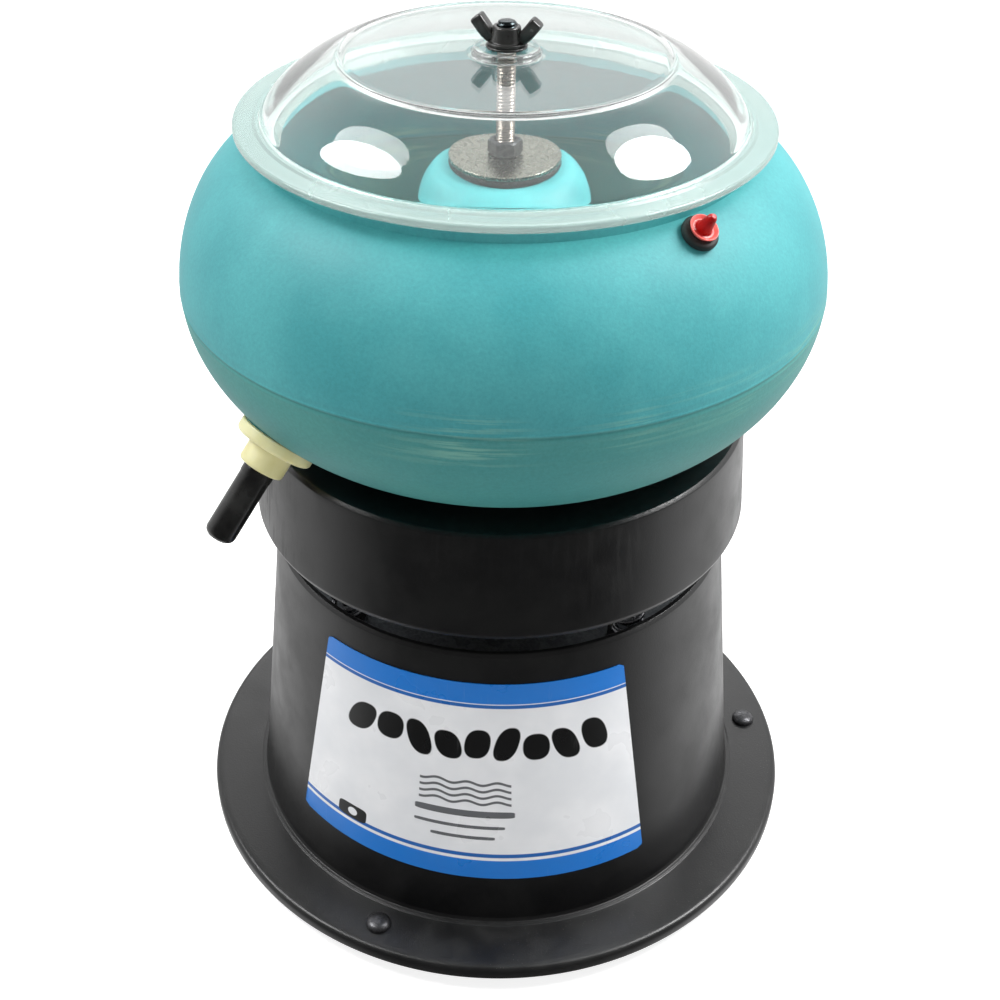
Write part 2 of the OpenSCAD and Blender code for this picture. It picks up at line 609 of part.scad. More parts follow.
module stator() color([0.4, 0.4, 0.42]) difference() {
    tube(motor_r - motor_wall - free_gap, stator_in_r, stator_low_z, stator_h);
    round_circle(12, stator_in_r + 5, stator_low_z - over, 0)
        cylinder(h = stator_h + 2 * over, r = 3, $fn = small_fn);
}
module windings() color([0.7, 0.35, 0.15]) for (z = [stator_low_z - 6, stator_low_z + stator_h])
    tube(36, stator_in_r + 2, z, 6);
module rotor_core() color([0.45, 0.45, 0.47])
    tube(stator_in_r - rotor_gap, shaft_r + 0.02, stator_low_z, stator_h);
module motor_shaft() color([0.75, 0.75, 0.76]) translate([0, 0, weight_low_z - 2])
    cylinder(h = fan_low_z + fan_h - weight_low_z, r = shaft_r);

module bearing(z) tube(bearing_r, shaft_r + running_gap, z, bearing_t);
module bearing_upper() color([0.8, 0.8, 0.8]) bearing(motor_top_z - bearing_lip - bearing_t);
module bearing_lower() color([0.8, 0.8, 0.8]) bearing(motor_low_z + bearing_lip);

module cooling_fan() color([0.85, 0.85, 0.82]) translate([0, 0, fan_low_z]) difference() {
    union() {
        cylinder(h = 1.4, r = fan_r);
        cylinder(h = fan_h - 1, r = 9);
        round_circle(8, 8, 0, 0) translate([0, -0.8, 0]) cube([fan_r - 8.5, 1.6, fan_h - 1]);
    }
    translate([0, 0, -over]) cylinder(h = 20, r = shaft_r + 0.02);
}

module eccentric_weight() color([0.35, 0.35, 0.36]) translate([0, 0, weight_low_z]) difference() {
    union() {
        cylinder(h = weight_t, r = 11);
        intersection() {
            cylinder(h = weight_t, r = weight_r);
            translate([0, -weight_r, 0]) cube([weight_r, 2 * weight_r, weight_t]);
        }
    }
    translate([0, 0, -over]) cylinder(h = weight_t + 2 * over, r = shaft_r + 0.02);
    translate([0, 0, weight_t / 2]) rotate([0, -90, 0])
        cylinder(h = 20, r = foot_screw_r + free_gap, $fn = small_fn);
}
module weight_screw() color([0.2, 0.2, 0.2])
    translate([-shaft_r - 0.1, 0, weight_low_z + weight_t / 2]) rotate([0, -90, 0])
        cylinder(h = 5.6, r = foot_screw_r, $fn = small_fn);

module motor_posts() color([0.7, 0.7, 0.7]) round_circle(3, motor_post_r, 0, 0)
    tube(post_r, screw_r + free_gap, motor_top_z, plate_z - motor_top_z, $fn = small_fn);
module motor_screws() color([0.6, 0.6, 0.6]) round_circle(3, motor_post_r, plate_top_z, 0)
    screw(screw_r, plate_top_z - motor_top_z + 7, 3.8, 2.6);

base_housing();
base_label();
rubber_feet();
foot_screws();
foot_nuts();
bottom_cover();
cover_screws();
cord_bushing();
spring_deck();
deck_screws();
lower_spring_cups();
lower_cup_screws();
spring_isolators();
springs();
upper_spring_cups();
upper_cup_screws();
drive_plate();
rod_nuts();
plate_screws();
skirt();
bowl();
bowl_gasket();
bowl_washer();
bowl_nut();
center_rod();
lid();
lid_washer();
wing_nut();
inlet_grommet();
inlet_plug();
drain_body();
drain_gasket();
drain_nut();
drain_screen();
drain_cap();
motor_can();
motor_cap_upper();
motor_cap_lower();
stator();
windings();
rotor_core();
motor_shaft();
bearing_upper();
bearing_lower();
cooling_fan();
eccentric_weight();
weight_screw();
motor_posts();
motor_screws();
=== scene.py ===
import json
import math

import bmesh
import bpy
import numpy as np
from mathutils import Matrix, Vector


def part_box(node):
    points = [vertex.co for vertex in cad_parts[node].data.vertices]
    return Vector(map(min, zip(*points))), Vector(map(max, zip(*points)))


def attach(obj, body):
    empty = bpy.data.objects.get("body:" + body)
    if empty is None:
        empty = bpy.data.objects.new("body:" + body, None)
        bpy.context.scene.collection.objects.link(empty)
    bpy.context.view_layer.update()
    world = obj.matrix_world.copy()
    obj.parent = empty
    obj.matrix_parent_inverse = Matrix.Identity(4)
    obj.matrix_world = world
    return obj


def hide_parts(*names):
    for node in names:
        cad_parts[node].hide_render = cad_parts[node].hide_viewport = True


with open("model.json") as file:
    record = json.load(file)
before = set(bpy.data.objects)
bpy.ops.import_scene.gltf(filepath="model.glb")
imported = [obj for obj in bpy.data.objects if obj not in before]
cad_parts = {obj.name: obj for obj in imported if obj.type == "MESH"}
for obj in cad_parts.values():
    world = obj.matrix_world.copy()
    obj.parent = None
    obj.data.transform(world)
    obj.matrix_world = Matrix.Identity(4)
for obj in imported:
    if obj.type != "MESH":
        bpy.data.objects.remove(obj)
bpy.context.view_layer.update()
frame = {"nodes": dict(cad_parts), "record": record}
print("frame loaded:", len(frame["nodes"]), "nodes")

mm = 0.001


def boxOf(node):
    # lowest and highest corner of a CAD node, in millimetres
    lowest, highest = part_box(node)
    return np.array(lowest) / mm, np.array(highest) / mm


def tint(red, green, blue):
    # a screen colour of 0 to 255 as a linear colour
    return tuple((channel / 255) ** 2.2 for channel in (red, green, blue)) + (1,)


# ---- camera, lights and floor

view = {"place": (0, -0.56563, 0.58246), "tilt": 54.21, "roll": 0.84, "lens": 51.62, "sensor": 36}
studio = {
    "softboxes": [  # place, size along and across, direction of the longer side, power, seen by gloss
        ((-0.76, 0.0, 1.13), (0.66, 0.40), (0.25, -0.55, 0.29), 11, True),
        ((0.75, 0.06, 1.11), (0.54, 0.54), (0.2, 1.0, 0.0), 17.5, True),
        ((0.1, -1.5, 0.75), (1.2, 1.0), (1.0, 0.0, 0.0), 7.2, False),
        ((0.0, 0.2, 1.9), (1.2, 1.2), (1.0, 0.0, 0.0), 9, False),
    ],
    "aim": (0, 0, 0.32),
    "bright": 1.15, "dark": 0.13, "backPanel": 3.2, "leftShare": 0.82,
    "floor": (0.6, 0.6, 0.6, 1), "floorSize": 8, "floorGlow": 0.75,
}


def placeCamera():
    data = bpy.data.cameras.new("camera")
    data.lens = view["lens"]
    data.sensor_width = view["sensor"]
    data.clip_start = 0.01
    camera = bpy.data.objects.new("camera", data)
    turn = Matrix.Rotation(math.radians(view["tilt"]), 4, "X")
    turn = turn @ Matrix.Rotation(math.radians(view["roll"]), 4, "Z")
    camera.matrix_world = Matrix.Translation(view["place"]) @ turn
    bpy.context.scene.collection.objects.link(camera)
    bpy.context.scene.camera = camera


def placeSoftboxes():
    for number, (place, spread, along, power, seen) in enumerate(studio["softboxes"]):
        data = bpy.data.lights.new(f"softbox{number}", "AREA")
        data.shape = "ELLIPSE" if seen else "RECTANGLE"
        data.size, data.size_y = spread
        data.energy = power
        lamp = bpy.data.objects.new(f"softbox{number}", data)
        back = (Vector(place) - Vector(studio["aim"])).normalized()
        side = (Vector(along) - Vector(along).dot(back) * back).normalized()
        facing = Matrix((side, back.cross(side), back)).transposed().to_4x4()
        lamp.matrix_world = Matrix.Translation(place) @ facing
        lamp.visible_glossy = seen
        lamp.visible_transmission = seen
        lamp.visible_camera = False
        bpy.context.scene.collection.objects.link(lamp)


def addNode(tree, kind, **settings):
    node = tree.nodes.new("ShaderNode" + kind)
    for key, value in settings.items():
        setattr(node, key, value)
    return node


def give(tree, value, socket):
    # a plain value is set on the socket, an output is linked to it
    if isinstance(value, (int, float, tuple)):
        socket.default_value = value
    else:
        tree.links.new(value, socket)


def worked(tree, operation, *values):
    # a Math node
    node = addNode(tree, "Math", operation=operation)
    for socket, value in zip(node.inputs, values):
        give(tree, value, socket)
    return node.outputs[0]


def product(tree, *values):
    result = values[0]
    for value in values[1:]:
        result = worked(tree, "MULTIPLY", result, value)
    return result


def axesOf(tree, vector):
    # the X, Y and Z of a vector
    node = addNode(tree, "SeparateXYZ")
    tree.links.new(vector, node.inputs[0])
    return node.outputs


def ramped(tree, value, start, end, low=0.0, high=1.0, smooth=True):
    # value from start to end mapped on low to high
    node = addNode(tree, "MapRange", interpolation_type="SMOOTHSTEP" if smooth else "LINEAR")
    for name, given in zip(("Value", "From Min", "From Max", "To Min", "To Max"),
                           (value, start, end, low, high)):
        give(tree, given, node.inputs[name])
    return node.outputs["Result"]


def blended(tree, factor, first, second, mode="MIX"):
    # a mix of two colours
    node = addNode(tree, "Mix", data_type="RGBA", blend_type=mode)
    for socket, value in zip((node.inputs[0], node.inputs[6], node.inputs[7]), (factor, first, second)):
        give(tree, value, socket)
    return node.outputs[2]


def lightRoom():
    # bright behind, beside and under the object, dark on the camera's side and overhead
    world = bpy.data.worlds.new("room")
    world.use_nodes = True
    tree = world.node_tree
    background = tree.nodes["Background"]
    x, y, z = axesOf(tree, addNode(tree, "TexCoord").outputs["Generated"])
    flat = worked(tree, "SQRT", worked(tree, "ADD", product(tree, x, x), product(tree, y, y)))
    facing = worked(tree, "DIVIDE", y, worked(tree, "MAXIMUM", flat, 0.001))
    room = product(tree, ramped(tree, facing, -0.72, 0.12), ramped(tree, z, 0.52, 0.86, 1.0, 0.16))
    strength = worked(tree, "MULTIPLY_ADD", room, studio["bright"], studio["dark"])
    # a panel high up behind the object, for the flat crown of the lid
    panel = product(tree, ramped(tree, z, 0.44, 0.52), ramped(tree, z, 0.64, 0.74, 1.0, 0.0),
                    ramped(tree, worked(tree, "ABSOLUTE", x), 0.2, 0.42, 1.0, 0.0),
                    worked(tree, "GREATER_THAN", y, 0.0))
    strength = worked(tree, "MULTIPLY_ADD", panel, studio["backPanel"], strength)
    strength = product(tree, strength, ramped(tree, x, -0.7, 0.1, studio["leftShare"], 1.0))
    rays = addNode(tree, "LightPath").outputs
    seen = worked(tree, "MAXIMUM", rays["Is Camera Ray"], rays["Is Transmission Ray"])
    background.inputs["Color"].default_value = (1, 1, 1, 1)
    level = addNode(tree, "Mix", data_type="FLOAT")
    for socket, value in zip((level.inputs[0], level.inputs[2], level.inputs[3]), (seen, strength, 1.0)):
        give(tree, value, socket)
    tree.links.new(level.outputs[0], background.inputs["Strength"])
    bpy.context.scene.world = world


def layFloor():
    mesh = bpy.data.meshes.new("floor")
    half = studio["floorSize"] / 2
    mesh.from_pydata([(-half, -half, 0), (half, -half, 0), (half, half, 0), (-half, half, 0)], [],
                     [(0, 1, 2, 3)])
    floor = bpy.data.objects.new("floor", mesh)
    bpy.context.scene.collection.objects.link(floor)
    material = bpy.data.materials.new("paleFloor")
    material.use_nodes = True
    shader = material.node_tree.nodes["Principled BSDF"]
    shader.inputs["Base Color"].default_value = studio["floor"]
    shader.inputs["Roughness"].default_value = 0.9
    shader.inputs["Specular IOR Level"].default_value = 0.0
    shader.inputs["Emission Color"].default_value = (1, 1, 1, 1)
    # the floor looks white but throws little light back up
    tree = material.node_tree
    glow = product(tree, addNode(tree, "LightPath").outputs["Is Camera Ray"], studio["floorGlow"])
    tree.links.new(glow, shader.inputs["Emission Strength"])
    mesh.materials.append(material)
    floor.visible_glossy = False


placeCamera()
placeSoftboxes()
lightRoom()
layFloor()
bpy.context.scene.view_settings.view_transform = "Standard"
print("camera, lights and floor placed")


# ---- making meshes

def bindMesh(name, points, faces, body, material, slot, replaced=(), sharp=42):
    # points in millimetres; every shell is welded, turned outwards and shaded smooth below the sharp angle
    mesh = bpy.data.meshes.new(name)
    mesh.from_pydata((np.asarray(points) * mm).tolist(), [], [list(face) for face in faces])
    shape = bmesh.new()
    shape.from_mesh(mesh)
    bmesh.ops.remove_doubles(shape, verts=shape.verts, dist=2e-7)
    bmesh.ops.recalc_face_normals(shape, faces=shape.faces)
    shape.to_mesh(mesh)
    shape.free()
    mesh.shade_smooth()
    mesh.set_sharp_from_angle(angle=math.radians(sharp))
    piece = bpy.data.objects.new(name, mesh)
    bpy.context.scene.collection.objects.link(piece)
    if material:
        mesh.materials.append(material)
    if body:
        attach(piece, body)
    if replaced:
        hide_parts(*replaced)
    return piece


def gridFaces(rows, columns, closedRows=False):
    # quads of a grid of points whose columns close on themselves, and whose rows may
    row = np.arange(rows if closedRows else rows - 1)[:, None]
    column = np.arange(columns)[None, :]
    nextRow, nextColumn = (row + 1) % rows, (column + 1) % columns
    corners = [row * columns + column, row * columns + nextColumn,
               nextRow * columns + nextColumn, nextRow * columns + column]
    return np.stack(np.broadcast_arrays(*corners), -1).reshape(-1, 4)


def superArc(centre, reach, roundness, start, end, count):
    # quarter of a superellipse: centre + reach * (cos^(2/n), sin^(2/n)), between two angles in degrees
    angle = np.radians(np.linspace(start, end, count))
    power = 2 / roundness
    return np.stack([centre[0] + reach[0] * np.clip(np.cos(angle), 0, 1) ** power,
                     centre[1] + reach[1] * np.clip(np.sin(angle), 0, 1) ** power], -1)


def rounded(corners, steps=5):
    # a closed outline with each corner (r, z, radius) replaced by an arc that touches both its sides
    points = []
    for index, (r, z, radius) in enumerate(corners):
        corner = np.array([r, z], float)
        if radius == 0:
            points.append(corner)
            continue
        before = np.array(corners[index - 1][:2], float) - corner
        after = np.array(corners[(index + 1) % len(corners)][:2], float) - corner
        before, after = before / np.linalg.norm(before), after / np.linalg.norm(after)
        half = math.acos(np.clip(before @ after, -1, 1)) / 2
        centre = corner + (before + after) / np.linalg.norm(before + after) * radius / math.sin(half)
        first = corner + before * radius / math.tan(half) - centre
        last = corner + after * radius / math.tan(half) - centre
        turn = math.pi - 2 * half
        for share in np.linspace(0, 1, steps):
            a, b = math.sin((1 - share) * turn) / math.sin(turn), math.sin(share * turn) / math.sin(turn)
            points.append(centre + first * a + last * b)
    return np.array(points)


def spaced(outline, longest, closed=True):
    # extra points on an outline, so that no straight run is longer than the given length
    ends = np.concatenate([outline[1:], outline[:1]]) if closed else outline[1:]
    starts = outline if closed else outline[:-1]
    counts = np.maximum(1, np.ceil(np.linalg.norm(ends - starts, axis=1) / longest)).astype(int)
    points = np.concatenate([a + (b - a) * (np.arange(n) / n)[:, None] for a, b,
                             n in zip(starts, ends, counts)])
    return points if closed else np.concatenate([points, outline[-1:]])


def turned(outline, steps, closed=True):
    # a surface of revolution: outline point (r, z) at angle a goes to (r cos a, r sin a, z)
    angle = np.linspace(0, 2 * np.pi, steps, endpoint=False)
    r, z = outline[:, :1], outline[:, 1:]
    points = np.stack([r * np.cos(angle), r * np.sin(angle), z + 0 * angle], -1)
    return points.reshape(-1, 3), gridFaces(len(outline), steps, closed)


def carried(points, faces, places):
    # one shape repeated at each 4x4 place
    turns = np.array([np.array(place) for place in places])
    moved = np.einsum("kij,vj->kvi", turns[:, :3, :3], points) + turns[:, None, :3, 3]
    shift = (np.arange(len(places)) * len(points))[:, None, None]
    return moved.reshape(-1, 3), (np.asarray(faces)[None] + shift).reshape(-1, len(faces[0]))


def joined(*shapes):
    # several (points, faces) shapes as one
    points, faces, count = [], [], 0
    for shapePoints, shapeFaces in shapes:
        points.append(shapePoints)
        faces.extend((np.asarray(shapeFaces) + count).tolist())
        count += len(shapePoints)
    return np.concatenate(points), faces


def around(azimuth, radius, height=0.0):
    # a place on a circle; azimuth 0 is the front and grows towards +X
    turn = Matrix.Rotation(math.radians(azimuth - 90), 4, "Z")
    return turn @ Matrix.Translation((radius, 0, height))


def carve(piece, operation, points, faces):
    # a Boolean with a second closed shape, applied at once
    tool = bindMesh("tool", points, faces, None, None, None)
    step = piece.modifiers.new("carve", "BOOLEAN")
    step.operation, step.solver, step.object = operation, "EXACT", tool
    shown = bpy.context.evaluated_depsgraph_get()
    mesh = bpy.data.meshes.new_from_object(piece.evaluated_get(shown))
    piece.modifiers.remove(step)
    old = piece.data
    piece.data = mesh
    bpy.data.meshes.remove(old)
    bpy.data.objects.remove(tool)
    mesh.name = piece.name
    mesh.shade_smooth()
    mesh.set_sharp_from_angle(angle=math.radians(42))
    return piece


# ---- effects shared by several materials

def newGroup(name, inputs, outputs):
    # a node group with its sockets; inputs and outputs are (name, kind, default)
    group = bpy.data.node_groups.new(name, "ShaderNodeTree")
    for direction, sockets in (("INPUT", inputs), ("OUTPUT", outputs)):
        for socketName, kind, *default in sockets:
            socket = group.interface.new_socket(socketName, in_out=direction,
                                                socket_type="NodeSocket" + kind)
            if default:
                socket.default_value = default[0]
    source = group.nodes.new("NodeGroupInput")
    target = group.nodes.new("NodeGroupOutput")
    return group, source.outputs, target.inputs


def noise(tree, vector, scale, detail=3.0, roughness=0.5):
    node = addNode(tree, "TexNoise")
    for name, value in (("Vector", vector), ("Scale", scale), ("Detail", detail),
                        ("Roughness", roughness)):
        give(tree, value, node.inputs[name])
    return node.outputs["Fac"]


def cellsOf(tree, vector, scale, feature="F1"):
    node = addNode(tree, "TexVoronoi", feature=feature)
    give(tree, vector, node.inputs["Vector"])
    give(tree, scale, node.inputs["Scale"])
    return node.outputs


def stretched(tree, vector, scale):
    # coordinates multiplied axis by axis
    node = addNode(tree, "VectorMath", operation="MULTIPLY")
    give(tree, vector, node.inputs[0])
    give(tree, scale, node.inputs[1])
    return node.outputs[0]


def makeGrain():
    # moulding grain: fine pebbles over a slow unevenness, for Bump and for roughness
    group, given, result = newGroup(
        "mouldGrain", [("Vector", "Vector"), ("Scale", "Float", 1200.0)],
        [("Height", "Float"), ("Unevenness", "Float")])
    cells = cellsOf(group, given["Vector"], given["Scale"], "SMOOTH_F1")
    fine = noise(group, given["Vector"], product(group, given["Scale"], 1.7), 2.0)
    height = product(group, worked(group, "ADD", cells["Distance"], fine), 0.6)
    group.links.new(height, result["Height"])
    slow = noise(group, given["Vector"], product(group, given["Scale"], 0.03), 4.0, 0.6)
    group.links.new(slow, result["Unevenness"])
    return group


def makeStreaks():
    # drawn-out marks: noise stretched along chosen axes, kept where a slower noise is high
    group, given, result = newGroup(
        "drawnStreaks", [("Vector", "Vector"), ("Stretch", "Vector", (30.0, 30.0, 900.0)),
                         ("Threshold", "Float", 0.55), ("Patchiness", "Float", 14.0)],
        [("Mask", "Float")])
    lines = noise(group, stretched(group, given["Vector"], given["Stretch"]), 1.0, 4.0, 0.6)
    sharp = ramped(group, lines, given["Threshold"], worked(group, "ADD", given["Threshold"], 0.12))
    patches = ramped(group, noise(group, given["Vector"], given["Patchiness"], 2.0), 0.42, 0.66)
    group.links.new(product(group, sharp, patches), result["Mask"])
    return group


def makeDust():
    # specks of dust on faces that look up
    group, given, result = newGroup("settledDust", [("Vector", "Vector"), ("Scale", "Float", 700.0)],
                                    [("Mask", "Float")])
    specks = ramped(group, cellsOf(group, given["Vector"], given["Scale"])["Distance"], 0.05, 0.13, 1.0,
                    0.0)
    cloud = ramped(group, noise(group, given["Vector"], 22.0, 4.0), 0.5, 0.7)
    upward = ramped(group, axesOf(group, addNode(group, "NewGeometry").outputs["Normal"])["Z"], 0.35,
                    0.95)
    group.links.new(product(group, specks, cloud, upward), result["Mask"])
    return group


def makeMottle():
    # cloudy and speckled variation of a cast colour, as a factor round one half
    group, given, result = newGroup(
        "castMottle", [("Vector", "Vector"), ("Cloud Scale", "Float", 18.0),
                       ("Speck Scale", "Float", 700.0)],
        [("Clouds", "Float"), ("Specks", "Float")])
    group.links.new(noise(group, given["Vector"], given["Cloud Scale"], 5.0, 0.55), result["Clouds"])
    group.links.new(noise(group, given["Vector"], given["Speck Scale"], 2.0, 0.7), result["Specks"])
    return group


def makePrintedShape():
    # mask of an ellipse or a rounded bar at a place on the label: Blockiness 2 is an ellipse, 6 a bar
    group, given, result = newGroup(
        "printedShape",
        [("U", "Float"), ("V", "Float"), ("Centre U", "Float"), ("Centre V", "Float"),
         ("Half Width", "Float", 0.1), ("Half Height", "Float", 0.1), ("Blockiness", "Float", 2.0),
         ("Lean", "Float", 0.0)],
        [("Mask", "Float")])
    across = worked(group, "SUBTRACT", given["U"], given["Centre U"])
    upwards = worked(group, "SUBTRACT", given["V"], given["Centre V"])
    across = worked(group, "SUBTRACT", across, product(group, upwards, given["Lean"]))
    terms = []
    for value, half in ((across, "Half Width"), (upwards, "Half Height")):
        share = worked(group, "ABSOLUTE", worked(group, "DIVIDE", value, given[half]))
        terms.append(worked(group, "POWER", share, given["Blockiness"]))
    inside = ramped(group, worked(group, "ADD", *terms), 0.9, 1.1, 1.0, 0.0)
    group.links.new(inside, result["Mask"])
    return group


effects = {"grain": makeGrain(), "streaks": makeStreaks(), "dust": makeDust(),
           "mottle": makeMottle(), "printedShape": makePrintedShape()}


def effect(tree, name, vector=None, **values):
    # one use of a shared effect; returns its outputs
    node = addNode(tree, "Group", node_tree=effects[name])
    if vector is not None:
        tree.links.new(vector, node.inputs["Vector"])
    for key, value in values.items():
        give(tree, value, node.inputs[key.replace("_", " ")])
    return node.outputs


# ---- materials

def startMaterial(name, roughness, **sockets):
    material = bpy.data.materials.new(name)
    material.use_nodes = True
    tree = material.node_tree
    shader = tree.nodes["Principled BSDF"]
    shader.inputs["Roughness"].default_value = roughness
    for key, value in sockets.items():
        shader.inputs[key.replace("_", " ")].default_value = value
    place = addNode(tree, "TexCoord").outputs["Object"]
    return material, tree, shader, place


def bumped(tree, shader, height, strength, distance=0.0004):
    bump = addNode(tree, "Bump")
    bump.inputs["Strength"].default_value = strength
    bump.inputs["Distance"].default_value = distance
    tree.links.new(height, bump.inputs["Height"])
    tree.links.new(bump.outputs["Normal"], shader.inputs["Normal"])


def surfaced(tree, shader, colour, rough, height, strength, distance=0.0004):
    # what every opaque finish ends with: colour, roughness and fine relief
    tree.links.new(colour, shader.inputs["Base Color"])
    tree.links.new(rough, shader.inputs["Roughness"])
    bumped(tree, shader, height, strength, distance)


def blackPlastic(name, colour, worn, roughness, grainScale, grainDepth, dusty=0.5, streaky=0.0):
    material, tree, shader, place = startMaterial(name, roughness)
    grain = effect(tree, "grain", place, Scale=grainScale)
    base = blended(tree, ramped(tree, grain["Unevenness"], 0.35, 0.7), colour, worn)
    dust = effect(tree, "dust", place, Scale=620.0)["Mask"]
    base = blended(tree, product(tree, dust, dusty), base, tint(120, 118, 112))
    rough = ramped(tree, grain["Unevenness"], 0.3, 0.75, roughness - 0.05, roughness + 0.08)
    if streaky:
        streaks = effect(tree, "streaks", place, Stretch=(420.0, 420.0, 9.0), Threshold=0.5)["Mask"]
        base = blended(tree, product(tree, streaks, streaky), base, tint(66, 66, 66))
        rough = worked(tree, "MULTIPLY_ADD", streaks, 0.12, rough)
    surfaced(tree, shader, base, rough, grain["Height"], grainDepth)
    return material


def tealCast():
    # cast teal polymer, greyer below its parting line, with pale scuffs along that line and painted shade
    # in the groove under it
    material, tree, shader, place = startMaterial("tealCast", 0.56, Specular_IOR_Level=0.32)
    height = axesOf(tree, place)["Z"]
    parting = bowlShape["partingHeight"] * mm
    mottle = effect(tree, "mottle", place)
    colour = blended(tree, ramped(tree, mottle["Clouds"], 0.36, 0.66), tint(62, 139, 144),
                     tint(74, 151, 155))
    lower = ramped(tree, height, parting - 0.001, parting + 0.0004, 1.0, 0.0)
    greyed = blended(tree, ramped(tree, mottle["Clouds"], 0.3, 0.7), tint(62, 130, 129),
                     tint(73, 139, 134))
    colour = blended(tree, lower, colour, greyed)
    specks = ramped(tree, mottle["Specks"], 0.3, 0.7, 0.93, 1.07, smooth=False)
    colour = blended(tree, 1.0, colour, combined(tree, specks), "MULTIPLY")
    scuffs = effect(tree, "streaks", place, Stretch=(22.0, 22.0, 560.0), Threshold=0.48,
                    Patchiness=15.0)["Mask"]
    scuffs = product(tree, scuffs, ramped(tree, height, parting - 0.020, parting - 0.006),
                     ramped(tree, height, parting + 0.004, parting + 0.012, 1.0, 0.0))
    colour = blended(tree, product(tree, scuffs, 0.55), colour, tint(126, 172, 154))
    # painted shade: the groove under the parting line is darkened in the colour
    groove = product(tree, ramped(tree, height, parting - 0.0022, parting - 0.0014),
                     ramped(tree, height, parting - 0.0009, parting - 0.0002, 1.0, 0.0))
    colour = blended(tree, product(tree, groove, 0.25), colour, tint(34, 88, 92))
    rough = worked(tree, "MULTIPLY_ADD", scuffs, 0.2,
                   ramped(tree, mottle["Clouds"], 0.3, 0.7, 0.50, 0.60))
    relief = worked(tree, "MULTIPLY_ADD", scuffs, 1.5,
                    effect(tree, "grain", place, Scale=900.0)["Height"])
    surfaced(tree, shader, colour, rough, relief, 0.16, 0.0003)
    return material


def combined(tree, value):
    # one value as a grey colour
    node = addNode(tree, "CombineColor")
    for socket in node.inputs[:3]:
        tree.links.new(value, socket)
    return node.outputs[0]


def clearPlastic(name, colour, roughness, transmission, haze, shade):
    # see-through plastic that lets the lamps' light into the bowl, with fine rubbing marks
    material, tree, shader, place = startMaterial(
        name, roughness, Base_Color=colour, Transmission_Weight=transmission, IOR=1.49)
    rubs = effect(tree, "streaks", place, Stretch=(180.0, 30.0, 60.0), Threshold=0.6,
                  Patchiness=20.0)["Mask"]
    cloud = noise(tree, place, 30.0, 3.0)
    rough = worked(tree, "MULTIPLY_ADD", rubs, 0.05,
                   ramped(tree, cloud, 0.35, 0.7, roughness, roughness + haze))
    tree.links.new(rough, shader.inputs["Roughness"])
    bumped(tree, shader, noise(tree, place, 26.0, 2.0), 0.05, 0.002)
    through = addNode(tree, "BsdfTransparent")
    through.inputs["Color"].default_value = shade
    mix = addNode(tree, "MixShader")
    tree.links.new(addNode(tree, "LightPath").outputs["Is Shadow Ray"], mix.inputs[0])
    tree.links.new(shader.outputs[0], mix.inputs[1])
    tree.links.new(through.outputs[0], mix.inputs[2])
    tree.links.new(mix.outputs[0], tree.nodes["Material Output"].inputs["Surface"])
    return material


def metal(name, colour, darker, roughness, stretch=(60.0, 60.0, 60.0), metallic=1.0, spangle=0.0):
    # bare or plated metal: two tones, drawn or turned lines, and crystals where it is galvanised
    material, tree, shader, place = startMaterial(name, roughness, Metallic=metallic)
    lines = noise(tree, stretched(tree, place, stretch), 12.0, 4.0, 0.65)
    tone = ramped(tree, lines, 0.3, 0.72)
    if spangle:
        split = addNode(tree, "SeparateColor")
        tree.links.new(cellsOf(tree, place, spangle)["Color"], split.inputs[0])
        tone = product(tree, worked(tree, "ADD", tone, split.outputs[0]), 0.5)
    rough = ramped(tree, tone, 0.0, 1.0, roughness + 0.1, roughness - 0.04)
    surfaced(tree, shader, blended(tree, tone, darker, colour), rough, lines, 0.15, 0.0002)
    return material


def rodSteel():
    # drawn steel whose colour darkens to a dark grey-teal on the exposed end over the wing nut
    material = metal("rodSteel", tint(160, 150, 143), tint(104, 97, 92), 0.22, (20.0, 20.0, 400.0))
    tree = material.node_tree
    shader = tree.nodes["Principled BSDF"]
    drawnColour = shader.inputs["Base Color"].links[0].from_socket
    # the colour is darkened from just below the rod's tip upwards
    end = ramped(tree, axesOf(tree, addNode(tree, "TexCoord").outputs["Object"])["Z"], 0.3995, 0.4035)
    tree.links.new(blended(tree, end, drawnColour, tint(58, 64, 66)), shader.inputs["Base Color"])
    return material


def rubber(name, colour, roughness, depth=0.2, **sockets):
    material, tree, shader, place = startMaterial(name, roughness, **sockets)
    grain = effect(tree, "grain", place, Scale=1500.0)
    shade = blended(tree, ramped(tree, grain["Unevenness"], 0.3, 0.7), colour, tint(46, 46, 45))
    rough = ramped(tree, grain["Unevenness"], 0.3, 0.7, roughness - 0.06, roughness + 0.08)
    surfaced(tree, shader, shade, rough, grain["Height"], depth, 0.0003)
    return material


def creamNylon():
    material, tree, shader, place = startMaterial(
        "creamNylon", 0.34, Subsurface_Weight=0.4, Subsurface_Radius=(1.0, 0.95, 0.5),
        Subsurface_Scale=0.004)
    mottle = effect(tree, "mottle", place, Cloud_Scale=60.0)
    cream = blended(tree, ramped(tree, mottle["Clouds"], 0.3, 0.7), tint(206, 200, 146),
                    tint(218, 214, 170))
    rough = ramped(tree, mottle["Clouds"], 0.3, 0.7, 0.28, 0.42)
    surfaced(tree, shader, cream, rough, mottle["Specks"], 0.08, 0.0003)
    return material


